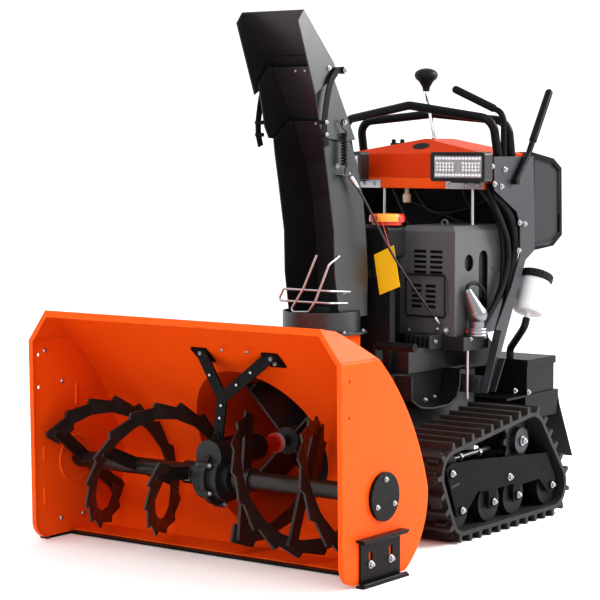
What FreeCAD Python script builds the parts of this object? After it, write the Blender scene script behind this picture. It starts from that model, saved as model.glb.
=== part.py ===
"""Tracked two-stage snow blower, built as a parametric document of separate sub-parts.

Frame: +X to the machine's left, -Y to the front, +Z up, millimetres. The origin is on the ground
under the middle of the machine. Stations along the machine are measured from the front plane of
the auger housing, and every sub-part is placed by the cell "front".
"""
import FreeCAD
import Part
import Sketcher
import math
import os

Vector = FreeCAD.Vector

# Driving dimensions. Names ending in _y are stations behind the housing's front plane, names ending
# in _z are heights over the ground, and names ending in _x are distances from the middle.
SIZES = {
    "front": -679, "seat_gap": 0.3, "pin_play": 0.3, "sheet": 3,
    # running gear
    "track_inner_x": 212, "track_width": 180, "belt": 10, "lug": 18, "lug_pitch": 46,
    "lug_width": 17, "lug_draft": 4,
    "idler_y": 576, "idler_z": 176, "idler_radius": 49,
    "toe_y": 623, "toe_radius": 50,
    "drive_y": 950, "drive_z": 210, "sprocket_radius": 64, "sprocket_teeth": 11,
    "sprocket_hub": 34, "sprocket_tooth": 12, "axle_inset": 30,
    "heel_y": 1069, "heel_radius": 52,
    "roller_one_y": 773, "roller_two_y": 894, "wheel_gap": 0.5,
    "frame_plate": 6, "plate_inset": 12, "wheel_pin_radius": 10,
    "axle_radius": 14, "cross_tube": 40, "cross_y": 800, "cross_z": 110,
    # auger housing
    "housing_half": 465, "housing_top_z": 574, "corner_x": 58, "corner_z": 76,
    "roof_y": 43, "roof_z": 565, "back_y": 243, "back_z": 388, "belly_y": 340, "belly_z": 186,
    "sill_y": 246, "sill_z": 7, "sill_front_y": 150, "side_foot_y": 46, "scraper_depth": 70,
    "scraper_z": 2, "lip_width": 12, "lip_depth": 4,
    "cutter_y": 24, "cutter_z": 380, "cutter_spacing": 80, "cutter_hole_radius": 4.5,
    "skid_plate": 5, "skid_height": 107, "skid_front_y": 50, "skid_length": 180, "skid_flange": 22,
    "auger_y": 154, "auger_z": 190, "reel_radius": 164, "ribbon_depth": 42, "ribbon_plate": 6,
    "tooth_depth": 13, "ribbon_teeth": 15, "arm_width": 32, "arm_plate": 8,
    "auger_tube_radius": 21, "auger_shaft_radius": 12.5, "bearing_radius": 55,
    "bearing_cover": 9, "auger_side_gap": 14,
    "gearbox_half": 46, "gearbox_radius": 58, "neck_radius": 32, "neck_end_y": 300,
    "brace_width": 28, "brace_plate": 6, "fork_x": 14, "fork_z": 377, "foot_left_x": 158,
    "foot_right_x": 52, "foot_z": 486,
    # impeller drum and chute
    "drum_radius": 195, "drum_z": 242, "drum_end_y": 670, "impeller_radius": 184,
    "impeller_front_y": 420, "impeller_depth": 150, "impeller_shaft_radius": 13,
    "coupling_radius": 21,
    "chute_y": 565, "collar_radius": 98, "collar_top_z": 500, "flange_radius": 116,
    "flange_plate": 5, "chute_half": 78, "nest_gap": 5, "pivot_pin_radius": 6,
    "knee_y": 540, "knee_z": 1026, "elbow_y": 464, "elbow_z": 1157,
    "link_gap": 5, "link_plate": 4, "link_width": 18, "wire_radius": 3, "guard_y": 486, "guard_z": 582,
    "turner_y": 620, "turner_z": 470, "turner_radius": 11,
    # chassis
    "chassis_half": 150, "chassis_end_y": 1060, "chassis_low_z": 150, "deck_z": 390,
    "outrigger_z": 328, "outrigger_y": 918, "outrigger_width": 50, "outrigger_height": 40,
    "column_plate": 4, "column_flange": 22, "brace_rod_radius": 5,
    # engine
    "engine_front_y": 722, "engine_length": 340, "engine_half": 160, "engine_step_z": 452,
    "engine_top_z": 650, "head_fins": 6, "fin_pitch": 14,
    "cowl_x": 30, "cowl_half_x": 200, "cowl_y": 876, "cowl_end_y": 1130,
    "cowl_z": 475, "cowl_top_z": 760, "cowl_wall": 3, "louvre_width": 38, "louvre_height": 7,
    "louvre_pitch": 13.5, "slot_radius": 23, "boot_radius": 27,
    "tank_front_y": 702, "tank_end_y": 796, "tank_low_z": 680, "tank_top_z": 766,
    "tank_left_x": 106, "tank_right_x": -165,
    "cap_radius": 46, "cap_height": 30, "cap_x": 74, "cap_y": 750,
    "cover_front_y": 698, "cover_half": 118, "cover_top_z": 636, "starter_radius": 96,
    "starter_depth": 44, "starter_z": 560, "muffler_y": 800, "muffler_length": 150,
    "skirt_x": 200, "skirt_low_z": 296, "skirt_end_y": 911,
    "tray_z": 292, "tray_plate": 6, "tray_end_y": 1334, "tray_side_y": 1158, "battery_y": 1172,
    "battery_length": 147, "battery_height": 94, "battery_x": 60, "bottle_radius": 42,
    "bottle_y": 1166, "bottle_z": 519, "bottle_height": 97, "bottle_lean": 24,
    # operator's station
    "dash_half": 222, "dash_front_y": 990, "dash_end_y": 1186.7, "dash_low_z": 870,
    "dash_side_z": 947, "dash_ridge_z": 987, "dash_slope": 56, "dash_band": 5,
    "dash_lip_z": 854,
    "hoop_radius": 11.5, "hoop_gap": 2.7,
    "hoop_front_y": 1042, "hoop_rear_y": 1106, "hoop_foot_z": 892, "hoop_bend": 40,
    "lever_radius": 8, "grip_radius": 10.5, "lever_y": 1056, "stick_x": 19,
    "console_end_y": 1355,
    "lamp_in_x": 110, "lamp_out_x": 275, "lamp_z": 876, "lamp_height": 76, "lamp_y": 897,
    "lamp_depth": 38, "lamp_rim": 9,
}

doc = FreeCAD.newDocument("snow_blower")
sheet = doc.addObject("Spreadsheet::Sheet", "Sizes")
for row, (name, value) in enumerate(SIZES.items(), start=1):
    sheet.set(f"A{row}", name)
    sheet.set(f"B{row}", str(value))
    sheet.setAlias(f"B{row}", name)
doc.recompute()


class Cells:
    """Reads a driving dimension from the sheet as a number."""

    def __getattr__(self, name):
        return float(getattr(sheet, name))


cell = Cells()
SIDES = {"left": 1, "right": -1}
X_AXIS, Y_AXIS, Z_AXIS = Vector(1, 0, 0), Vector(0, 1, 0), Vector(0, 0, 1)
FAR = 2000
subparts = []


def settle(item, label):
    """Name a finished sub-part and stand it at its place along the machine."""
    item.Label = label
    item.setExpression("Placement.Base.y", "Sizes.front")
    subparts.append(item)
    return item


def feature(label, shape):
    """A sub-part whose shape comes from Part's own functions."""
    item = doc.addObject("Part::Feature", label)
    item.Shape = shape
    return settle(item, label)


def bind_point(sketch, geometry, position, place):
    """Hold a point of a sketch at a place given by two expressions."""
    for kind, expression in zip(("DistanceX", "DistanceY"), place):
        sketch.addConstraint(Sketcher.Constraint(kind, -1, 1, geometry, position, 10.0))
        sketch.setExpression(f"Constraints[{sketch.ConstraintCount - 1}]", expression)


def outline_sketch(body, plane, corners, start, holes):
    """A sketch on an origin plane, with every corner and circle held by expressions."""
    sketch = body.newObject("Sketcher::SketchObject", body.Name + "_outline")
    origin_plane = next(f for f in body.Origin.OriginFeatures if f.Role == plane)
    sketch.AttachmentSupport = (origin_plane, [""])
    sketch.MapMode = "FlatFace"
    sketch.setExpression("AttachmentOffset.Base.z", start)
    count = len(corners)
    rough = [Vector(40 * math.cos(6.28 * i / count), 40 * math.sin(6.28 * i / count), 0)
             for i in range(count)]
    for i in range(count):
        sketch.addGeometry(Part.LineSegment(rough[i], rough[(i + 1) % count]))
    for i in range(count):
        sketch.addConstraint(Sketcher.Constraint("Coincident", i, 2, (i + 1) % count, 1))
    for i, place in enumerate(corners):
        bind_point(sketch, i, 1, place)
    for centre_u, centre_v, radius in holes:
        ring = sketch.addGeometry(Part.Circle(Vector(0, 0, 0), Z_AXIS, 5))
        sketch.addConstraint(Sketcher.Constraint("Radius", ring, 5))
        sketch.setExpression(f"Constraints[{sketch.ConstraintCount - 1}]", radius)
        bind_point(sketch, ring, 3, (centre_u, centre_v))
    return sketch


def padded(label, *steps):
    """A body of pads and pockets: (plane, corners, start, depth, holes, whether it cuts)."""
    body = doc.addObject("PartDesign::Body", label)
    for plane, corners, start, depth, holes, cuts in steps:
        kind = "PartDesign::Pocket" if cuts else "PartDesign::Pad"
        step = body.newObject(kind, label + ("_pocket" if cuts else "_pad"))
        step.Profile = outline_sketch(body, plane, corners, start, holes)
        step.setExpression("Length", depth)
        step.Reversed = cuts
    return settle(body, label)


def box_step(x0, x1, y0, y1, z0, z1, cuts=False):
    """A pad or pocket between six planes that are given as expressions."""
    corners = [(x0, y0), (x1, y0), (x1, y1), (x0, y1)]
    return ("XY_Plane", corners, z0, f"({z1}) - ({z0})", (), cuts)


def tied(y_size, z_size, offsets):
    """Corner expressions in the side view, at offsets from a station and a height."""
    return [(f"Sizes.{y_size} + ({dy})", f"Sizes.{z_size} + ({dz})") for dy, dz in offsets]


def near(y, z, offsets):
    """Points in the side view, at offsets from one point."""
    return [(y + dy, z + dz) for dy, dz in offsets]


def block(x0, x1, y0, y1, z0, z1):
    """A box between six planes, whichever way round each pair is given."""
    low = Vector(min(x0, x1), min(y0, y1), min(z0, z1))
    return Part.makeBox(abs(x1 - x0), abs(y1 - y0), abs(z1 - z0), low)


def rod(radius, start, end):
    """A round bar from one point to another."""
    start, end = Vector(*start), Vector(*end)
    return Part.makeCylinder(radius, (end - start).Length, start, end - start)


def side_plate(outline, x0, x1):
    """A plate with its outline in the side view, between two distances from the middle."""
    low, high = sorted((x0, x1))
    points = [Vector(low, y, z) for y, z in outline]
    return Part.Face(Part.makePolygon(points + points[:1])).extrude(Vector(high - low, 0, 0))


def bent_tube(points, radius, bend):
    """A tube along straight runs that are joined by arcs of one bend radius."""
    points = [Vector(*p) for p in points]
    edges, start = [], points[0]
    for before, corner, after in zip(points, points[1:], points[2:]):
        back, ahead = (before - corner).normalize(), (after - corner).normalize()
        half_turn = (math.pi - back.getAngle(ahead)) / 2
        reach = bend * math.tan(half_turn)
        enter, leave = corner + back * reach, corner + ahead * reach
        middle = corner + (back + ahead).normalize() * (bend / math.cos(half_turn) - bend)
        edges += [Part.LineSegment(start, enter).toShape(), Part.Arc(enter, middle, leave).toShape()]
        start = leave
    edges.append(Part.LineSegment(start, points[-1]).toShape())
    ring = Part.Wire(Part.makeCircle(radius, points[0], points[1] - points[0]))
    return Part.Wire(edges).makePipeShell([ring], True, False)


def flat_bar(start, end, width, plate, lift=0):
    """A flat bar in the front view, between two (x, z) points, from one station backwards."""
    length = math.dist(start, end)
    bar = block(-width / 2, width / 2, lift, lift + plate, -width / 4, length + width / 4)
    bar.rotate(Vector(0, 0, 0), Y_AXIS, math.degrees(math.atan2(end[0] - start[0],
                                                              end[1] - start[1])))
    return bar.translated(Vector(start[0], 0, start[1]))


def turned(profile, centre):
    """A solid of revolution about an upright axis, from (radius, height) pairs."""
    centre = Vector(*centre)
    points = [centre + Vector(r, 0, z) for r, z in profile]
    return Part.Face(Part.makePolygon(points + points[:1])).revolve(centre, Z_AXIS, 360)


def mirrored(shape):
    """The same shape on the other side of the machine."""
    return shape.mirror(Vector(0, 0, 0), X_AXIS)


column_x = cell.dash_half + cell.hoop_gap + 2 * cell.hoop_radius + cell.seat_gap
COLUMN_X = "Sizes.dash_half + Sizes.hoop_gap + 2 * Sizes.hoop_radius + Sizes.seat_gap"

# ---------------------------------------------------------------------------------------------
# Running gear: two rubber tracks, each with a plate frame, an idler, three road rollers, a heel
# wheel and a drive sprocket, joined by a cross tube and the drive axle.
# ---------------------------------------------------------------------------------------------
skin = cell.belt + cell.lug
toe_z = cell.toe_radius + cell.wheel_gap + skin
heel_z = cell.heel_radius + cell.wheel_gap + skin
WHEELS = [
    (cell.idler_y, cell.idler_z, cell.idler_radius),
    (cell.toe_y, toe_z, cell.toe_radius),
    (cell.heel_y, heel_z, cell.heel_radius),
    (cell.drive_y, cell.drive_z, cell.sprocket_radius),
]


def loop_runs(grow):
    """The tangent runs and arcs of a belt round the wheels, anticlockwise seen from the left."""
    runs = []
    for (y0, z0, r0), (y1, z1, r1) in zip(WHEELS, WHEELS[1:] + WHEELS[:1]):
        r0, r1 = r0 + cell.wheel_gap + grow, r1 + cell.wheel_gap + grow
        along = math.atan2(z1 - z0, y1 - y0)
        lean = math.asin((r0 - r1) / math.hypot(y1 - y0, z1 - z0))
        normal = along - math.pi / 2 + lean
        offset = (math.cos(normal), math.sin(normal))
        runs.append(((y0 + r0 * offset[0], z0 + r0 * offset[1]),
                     (y1 + r1 * offset[0], z1 + r1 * offset[1]), normal))
    return runs


def belt_face(grow):
    """The closed outline of the belt at one height over the wheels."""
    runs = loop_runs(grow)
    edges = []
    for (start, end, normal), (next_start, _, next_normal), (y, z, r) in zip(
            runs, runs[1:] + runs[:1], WHEELS[1:] + WHEELS[:1]):
        turn = (next_normal - normal) % (2 * math.pi)
        middle = normal + turn / 2
        reach = r + cell.wheel_gap + grow
        crown = Vector(0, y + reach * math.cos(middle), z + reach * math.sin(middle))
        edges.append(Part.LineSegment(Vector(0, *start), Vector(0, *end)).toShape())
        edges.append(Part.Arc(Vector(0, *end), crown, Vector(0, *next_start)).toShape())
    return Part.Face(Part.Wire(edges))


def lug_places():
    """Points and headings, evenly spaced round the outer face of the belt."""
    runs = loop_runs(cell.belt)
    pieces = []
    for (start, end, normal), (_, _, next_normal), (y, z, r) in zip(
            runs, runs[1:] + runs[:1], WHEELS[1:] + WHEELS[:1]):
        pieces.append(("run", math.dist(start, end), start, normal, None))
        turn = (next_normal - normal) % (2 * math.pi)
        reach = r + cell.wheel_gap + cell.belt
        pieces.append(("arc", reach * turn, (y, z), normal, reach))
    total = sum(length for _, length, _, _, _ in pieces)
    count = round(total / cell.lug_pitch)
    for number in range(count):
        travel = total * (number + 0.5) / count
        for kind, length, (y, z), normal, reach in pieces:
            if travel <= length:
                break
            travel -= length
        if kind == "run":
            heading = normal + math.pi / 2
            yield y + travel * math.cos(heading), z + travel * math.sin(heading), normal
        else:
            angle = normal + travel / reach
            yield y + reach * math.cos(angle), z + reach * math.sin(angle), angle


def track(x0):
    """One rubber loop with its cross lugs, from its inner edge outwards."""
    half, crest = cell.lug_width / 2, cell.lug_width / 2 - cell.lug_draft
    outline = [(-half, -cell.belt / 2), (half, -cell.belt / 2), (crest, cell.lug),
               (-crest, cell.lug)]
    lugs = []
    for y, z, normal in lug_places():
        out, along = (math.cos(normal), math.sin(normal)), (-math.sin(normal), math.cos(normal))
        lugs.append(side_plate([(y + a * along[0] + h * out[0], z + a * along[1] + h * out[1])
                                for a, h in outline], 0, cell.track_width))
    loop = belt_face(cell.belt).cut(belt_face(0)).extrude(Vector(cell.track_width, 0, 0))
    return loop.fuse(lugs).translated(Vector(x0, 0, 0))


track_outer_x = cell.track_inner_x + cell.track_width
plate_in_x = cell.track_inner_x + cell.plate_inset
plate_out_x = track_outer_x - cell.plate_inset
left_track = track(cell.track_inner_x)
feature("track_left", left_track)
feature("track_right", mirrored(left_track))

FRAME_OUTLINE = (
    near(cell.idler_y, cell.idler_z, [(-22, 12), (-8, -22), (2, -44)])
    + near(cell.toe_y, toe_z, [(-18, -14), (16, -16), (80, 36)])
    + near(cell.roller_one_y, toe_z, [(-24, 30), (22, 30)])
    + near(cell.roller_two_y, toe_z, [(-26, 32), (24, 24)])
    + near(cell.heel_y, heel_z, [(-60, 24), (-12, -20), (20, -14), (24, 16)])
    + [(cell.heel_y - 22, cell.drive_z - 42), (cell.toe_y + 56, cell.idler_z + 20),
       (cell.idler_y + 2, cell.idler_z + 24)])
PINS = [(cell.idler_y, cell.idler_z, cell.idler_radius), (cell.toe_y, toe_z, cell.toe_radius),
        (cell.roller_one_y, toe_z, cell.toe_radius), (cell.roller_two_y, toe_z, cell.toe_radius),
        (cell.heel_y, heel_z, cell.heel_radius)]


def track_frame():
    """Two plates with wheel holes, held apart by two spacer tubes, and roller hangers."""
    plates = []
    for x0, x1 in ((plate_in_x, plate_in_x + cell.frame_plate),
                   (plate_out_x - cell.frame_plate, plate_out_x)):
        plate = side_plate(FRAME_OUTLINE, x0, x1)
        for y in (cell.roller_one_y, cell.roller_two_y):
            plate = plate.fuse(block(x0, x1, y - 18, y + 18, toe_z - 16, toe_z + 40))
        for y, z, _ in PINS:
            hole = cell.wheel_pin_radius + cell.pin_play
            plate = plate.cut(rod(hole, (x0 - 1, y, z), (x1 + 1, y, z)))
        plates.append(plate)
    spacer_z = cell.idler_z - 34
    spacers = [rod(14, (plate_in_x, y, spacer_z), (plate_out_x, y, spacer_z))
               for y in (cell.toe_y + 75, cell.heel_y - 60)]
    return plates[0].fuse([plates[1]] + spacers).removeSplitter()


def track_wheels():
    """The idler, road rollers and heel wheel of one side, each turned with its own pin."""
    rim_gap, web = 6, 26
    inner_end = plate_in_x + cell.frame_plate + rim_gap
    outer_end = plate_out_x - cell.frame_plate - rim_gap
    wheels = []
    for y, z, radius in PINS:
        shape = rod(cell.wheel_pin_radius, (plate_in_x - 4, y, z), (plate_out_x + 5, y, z))
        wheels.append(shape.fuse([rod(radius, (inner_end, y, z), (inner_end + web, y, z)),
                                  rod(radius, (outer_end - web, y, z), (outer_end, y, z)),
                                  rod(radius / 2, (inner_end, y, z), (outer_end, y, z))]))
    return Part.makeCompound(wheels)


frame_shape, wheel_shape = track_frame(), track_wheels()
feature("track_frame_left", frame_shape)
feature("track_frame_right", mirrored(frame_shape))
feature("track_wheels_left", wheel_shape)
feature("track_wheels_right", mirrored(wheel_shape))


def sprocket():
    """A toothed drive wheel: two tooth rings on a hub."""
    middle = cell.track_inner_x + cell.track_width / 2
    steps = int(cell.sprocket_teeth) * 2
    outline = []
    for i in range(steps):
        radius = cell.sprocket_radius - (0 if i % 2 else cell.sprocket_tooth)
        for lean in (-0.3, 0.3):
            angle = 2 * math.pi * (i + lean) / steps
            outline.append((cell.drive_y + radius * math.cos(angle),
                            cell.drive_z + radius * math.sin(angle)))
    rings = [side_plate(outline, middle + d, middle + d + 12) for d in (-42, 30)]
    hub = rod(cell.sprocket_hub, (middle - 58, cell.drive_y, cell.drive_z),
              (middle + 58, cell.drive_y, cell.drive_z))
    return hub.fuse(rings)


sprocket_forms = []
for side, shape in (("left", sprocket()), ("right", mirrored(sprocket()))):
    form = doc.addObject("Part::Feature", f"sprocket_form_{side}")
    form.Shape = shape
    sprocket_forms.append(form)
AXLE_REACH = "Sizes.track_inner_x + Sizes.track_width - Sizes.axle_inset"
axle = doc.addObject("Part::Cylinder", "axle_bar")
axle.setExpression("Radius", "Sizes.axle_radius")
axle.setExpression("Height", f"2 * ({AXLE_REACH})")
axle.Placement.Rotation = FreeCAD.Rotation(Y_AXIS, 90)
axle.setExpression("Placement.Base.x", f"-({AXLE_REACH})")
axle.setExpression("Placement.Base.y", "Sizes.drive_y")
axle.setExpression("Placement.Base.z", "Sizes.drive_z")
axle_whole = doc.addObject("Part::MultiFuse", "drive_axle")
axle_whole.Shapes = [axle] + sprocket_forms
settle(axle_whole, "drive_axle")

CROSS_END = "(Sizes.track_inner_x + Sizes.plate_inset)"
padded("cross_tube", box_step(
    "-" + CROSS_END, CROSS_END, "Sizes.cross_y - Sizes.cross_tube / 2",
    "Sizes.cross_y + Sizes.cross_tube / 2", "Sizes.cross_z - Sizes.cross_tube / 2",
    "Sizes.cross_z + Sizes.cross_tube / 2"))

# ---------------------------------------------------------------------------------------------
# Auger housing: a rolled wrapper between two side plates, open to the front, with a scraper bar,
# reversible skid shoes and the auger bearings.
# ---------------------------------------------------------------------------------------------
ROOF = (cell.roof_y, cell.roof_z)
BELLY = (cell.belly_y, cell.belly_z)
SILL = (cell.sill_y, cell.sill_z)


def housing_solid(inset):
    """The filled form of the housing: roof, rolled back, sill, chamfered top corners."""
    half = cell.housing_half
    front_top, front_low = (-8, cell.housing_top_z), (cell.side_foot_y, cell.sill_z)
    toe = (0, cell.sill_z + cell.side_foot_y)
    bulge = (cell.belly_y - 14, (cell.belly_z + cell.sill_z) / 2 + 4)
    at = {name: Vector(0, *place) for name, place in {
        "top": front_top, "roof": ROOF, "back": (cell.back_y, cell.back_z), "belly": BELLY,
        "bulge": bulge, "sill": SILL, "low": front_low, "toe": toe}.items()}
    corner = Vector(0, 0.3 * cell.side_foot_y, cell.sill_z + 0.3 * cell.side_foot_y)
    edges = [Part.LineSegment(at["top"], at["roof"]).toShape(),
             Part.Arc(at["roof"], at["back"], at["belly"]).toShape(),
             Part.Arc(at["belly"], at["bulge"], at["sill"]).toShape(),
             Part.LineSegment(at["sill"], at["low"]).toShape(),
             Part.Arc(at["low"], corner, at["toe"]).toShape(),
             Part.LineSegment(at["toe"], at["top"]).toShape()]
    face = Part.Face(Part.Wire(edges))
    if inset:
        face = face.makeOffset2D(-inset)
    solid = face.extrude(Vector(2 * (half - inset), 0, 0)).translated(Vector(inset - half, 0, 0))
    slant = math.hypot(cell.corner_x, cell.corner_z)
    shift = inset * slant / cell.corner_z
    for sign in SIDES.values():
        low_z, high_z = cell.housing_top_z - cell.corner_z, cell.housing_top_z + 1
        wedge = [Vector(sign * (half - shift), -50, low_z), Vector(sign * (half + 1), -50, low_z),
                 Vector(sign * (half + 1), -50, high_z),
                 Vector(sign * (half - cell.corner_x - shift), -50, high_z)]
        tool = Part.Face(Part.makePolygon(wedge + wedge[:1])).extrude(Vector(0, FAR, 0))
        solid = solid.cut(tool)
    return solid


def open_front(inset):
    """The room inside the housing at one distance from its skin, with the front cut away."""
    room = housing_solid(inset)
    return room.fuse(room.translated(Vector(0, -2 * cell.lip_width, 0)))


half_width = cell.housing_half
inner_half = half_width - cell.sheet
lip_end_z = cell.housing_top_z - cell.corner_z
outer_form = housing_solid(0)
shell = outer_form.cut(open_front(cell.sheet))
front_lip = outer_form.cut(outer_form.translated(Vector(0, cell.lip_depth, 0)))
front_lip = front_lip.cut(open_front(cell.lip_width))
drum_hole = rod(cell.drum_radius - cell.sheet, (0, 60, cell.drum_z), (0, FAR, cell.drum_z))
wrapper_zone = block(-inner_half, inner_half, -FAR, FAR, -FAR, FAR)
wrapper = shell.common(wrapper_zone).cut(drum_hole)
wrapper = wrapper.cut(block(-FAR, FAR, -FAR, cell.sill_front_y, -FAR, cell.sill_z + 50))
wrapper = wrapper.cut(block(-FAR, FAR, -FAR, 2, -FAR, lip_end_z))
wrapper = wrapper.fuse(front_lip.common(block(-inner_half, inner_half, -FAR, FAR, lip_end_z, FAR)))
feature("housing_wrapper", max(wrapper.Solids, key=lambda solid: solid.Volume))

bearing_bore = cell.auger_shaft_radius + cell.pin_play
covers = []
for side, sign in SIDES.items():
    axis = (cell.auger_y, cell.auger_z)
    plate = outer_form.common(block(sign * inner_half, sign * FAR, -FAR, FAR, -FAR, FAR))
    plate = plate.fuse(front_lip.common(block(sign * (half_width - cell.lip_width - 1), sign * FAR,
                                              -FAR, FAR, -FAR, lip_end_z)))
    cuts = [rod(bearing_bore, (sign * (inner_half - 40), *axis), (sign * (half_width + 40), *axis))]
    for z in (cell.cutter_z, cell.cutter_z + cell.cutter_spacing):
        cuts.append(rod(cell.cutter_hole_radius, (sign * (inner_half - 20), cell.cutter_y, z),
                        (sign * (half_width + 20), cell.cutter_y, z)))
    feature(f"housing_side_{side}", plate.cut(cuts).removeSplitter())
    shoe_x = sign * (half_width + cell.seat_gap)
    out_x, lip_x = sign * (half_width + cell.skid_plate), sign * (half_width + cell.skid_flange)
    y0, y1 = cell.skid_front_y, cell.skid_front_y + cell.skid_length
    web = block(shoe_x, out_x, y0 + 12, y1 - 12, 0, cell.skid_height)
    runner = [block(shoe_x, lip_x, y0, y1, z, z + cell.skid_plate)
              for z in (0, cell.skid_height - cell.skid_plate)]
    slots = [block(sign * (half_width - 5), sign * (half_width + 2 * cell.skid_plate),
                   y - 7, y + 7, 0.32 * cell.skid_height, 0.7 * cell.skid_height)
             for y in (y0 + 50, y1 - 50)]
    feature(f"skid_shoe_{side}", web.fuse(runner).cut(Part.makeCompound(slots)))
    cover_x = half_width + cell.bearing_cover
    cover = rod(cell.bearing_radius, (shoe_x, *axis), (sign * cover_x, *axis))
    covers.append(cover.cut(rod(bearing_bore, (sign * (inner_half - 40), *axis),
                                (sign * (cover_x - cell.sheet), *axis))))
feature("bearing_covers", Part.makeCompound(covers))

SCRAPER_FRONT = "Sizes.sill_front_y - Sizes.scraper_depth / 4"
SCRAPER_BACK = "Sizes.sill_front_y + Sizes.scraper_depth"
SCRAPER_END = "(Sizes.housing_half - Sizes.sheet)"
padded("scraper_bar", box_step("-" + SCRAPER_END, SCRAPER_END, SCRAPER_FRONT, SCRAPER_BACK,
                               "Sizes.scraper_z", "Sizes.sill_z - Sizes.seat_gap"))


# ---------------------------------------------------------------------------------------------
# Auger: a gearbox on a bent brace, and on each side a tube with two serrated spiral ribbons.
# ---------------------------------------------------------------------------------------------
def ribbon(x0, x1, start, turn):
    """A saw-toothed flat ribbon that winds round the auger shaft between two stations."""
    outer, inner = cell.reel_radius, cell.reel_radius - cell.ribbon_depth
    teeth = int(cell.ribbon_teeth)
    marks = [(0, outer - cell.tooth_depth)]
    for tooth in range(teeth):
        marks += [((tooth + 0.86) / teeth, outer), ((tooth + 1) / teeth, outer - cell.tooth_depth)]
    rings = []
    for share, tip in marks:
        angle, x = start + turn * share, x0 + (x1 - x0) * share
        root = inner - (cell.ribbon_depth / 3 if share < 0.1 or share > 0.93 else 0)
        rings.append([Vector(x + dx, cell.auger_y + radius * math.cos(angle),
                             cell.auger_z + radius * math.sin(angle))
                      for radius, dx in ((root, 0), (tip, 0), (tip, cell.ribbon_plate),
                                         (root, cell.ribbon_plate))])
    faces = []
    for ring, following in zip(rings, rings[1:]):
        for k in range(4):
            a, b = ring[k], ring[(k + 1) % 4]
            c, d = following[(k + 1) % 4], following[k]
            faces += [Part.Face(Part.makePolygon([a, b, c, a])),
                      Part.Face(Part.makePolygon([a, c, d, a]))]
    for ring in (rings[0], rings[-1]):
        faces.append(Part.Face(Part.makePolygon(ring + ring[:1])))
    solid = Part.makeSolid(Part.makeShell(faces))
    if solid.Volume < 0:
        solid.reverse()
    return solid


def auger_half(phase):
    """The tube, shaft stub, flat arms and ribbons on the left of the gearbox."""
    start_x = cell.gearbox_half + 10
    end_x = half_width - cell.sheet - cell.auger_side_gap
    axis = (cell.auger_y, cell.auger_z)
    parts = [rod(cell.auger_tube_radius, (start_x + 44, *axis), (end_x, *axis)),
             rod(cell.auger_tube_radius + 7, (start_x, *axis), (start_x + 45, *axis)),
             rod(cell.auger_shaft_radius, (start_x - 30, *axis),
                 (half_width + cell.bearing_cover - cell.sheet - 1, *axis))]
    first, last, turn = start_x + 6, end_x - 20, math.radians(350)
    for start in (math.radians(phase), math.radians(phase + 180)):
        parts.append(ribbon(first, last, start, turn))
        for share in (0.03, 0.5, 0.97):
            x = first + (last - first) * share
            arm = block(x, x + cell.arm_plate, -cell.arm_width / 2, cell.arm_width / 2, 10,
                        cell.reel_radius - cell.ribbon_depth / 2)
            arm.rotate(Vector(0, 0, 0), X_AXIS, math.degrees(start + turn * share) - 90)
            parts.append(arm.translated(Vector(0, *axis)))
    return parts[0].fuse(parts[1:])


feature("auger_left", auger_half(74))
feature("auger_right", mirrored(auger_half(163)))

worm_z = cell.drum_z
auger_axis = (cell.auger_y, cell.auger_z)
case = rod(cell.gearbox_radius, (8 - cell.gearbox_half, *auger_axis),
           (cell.gearbox_half - 14, *auger_axis))
flange = rod(cell.gearbox_radius + 12, (-7, *auger_axis), (7, *auger_axis))
bosses = rod(cell.auger_tube_radius + 14, (-cell.gearbox_half, *auger_axis),
             (cell.gearbox_half, *auger_axis))
neck = rod(cell.neck_radius, (0, cell.auger_y, worm_z), (0, cell.neck_end_y, worm_z))
crown = rod(cell.neck_radius + 6, (0, cell.auger_y - 42, worm_z), (0, cell.auger_y + 58, worm_z))
lugs = [rod(9, (-14, cell.auger_y + (cell.gearbox_radius + 8) * math.cos(a),
                cell.auger_z + (cell.gearbox_radius + 8) * math.sin(a)),
            (14, cell.auger_y + (cell.gearbox_radius + 8) * math.cos(a),
             cell.auger_z + (cell.gearbox_radius + 8) * math.sin(a)))
        for a in (math.radians(30 + 60 * i) for i in range(6))]
case_bore = rod(bearing_bore, (-200, *auger_axis), (200, *auger_axis))
neck_bore = rod(cell.impeller_shaft_radius + cell.pin_play, (0, cell.neck_end_y - 20, worm_z),
                (0, cell.neck_end_y + 5, worm_z))
gearbox = case.fuse([flange, bosses, neck, crown] + lugs).cut([case_bore, neck_bore])
feature("auger_gearbox", gearbox)

# The brace is two angle bars that meet in a fork over the gearbox and end in feet on the wrapper.
brace_y = cell.auger_y - 10
fork = (cell.fork_x, cell.fork_z)
stem_foot = (0, worm_z + cell.neck_radius)
arm_ends = [(-cell.foot_right_x, cell.foot_z), (cell.foot_left_x, cell.foot_z)]
bars = []
for start, end in [(stem_foot, fork)] + [(fork, end) for end in arm_ends]:
    bars.append(flat_bar(start, end, cell.brace_width, cell.brace_plate, brace_y))
    rib = flat_bar(start, end, cell.brace_plate, 0.6 * cell.brace_width, brace_y)
    lean = math.atan2(end[0] - start[0], end[1] - start[1])
    offset = (cell.brace_plate - cell.brace_width) / 2
    bars.append(rib.translated(Vector(offset * math.cos(lean), 0, -offset * math.sin(lean))))
for x, z in arm_ends:
    foot = block(-0.8 * cell.brace_width, 0.8 * cell.brace_width, -8, 42, -cell.brace_plate / 2,
                 cell.brace_plate / 2).rotated(Vector(0, 0, 0), X_AXIS, -40)
    bars.append(foot.translated(Vector(x, brace_y, z)))
brace = bars[0].fuse(bars[1:]).common(open_front(cell.sheet + cell.seat_gap))
feature("auger_brace", brace.cut([case, flange, crown, neck] + lugs).removeSplitter())

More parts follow.
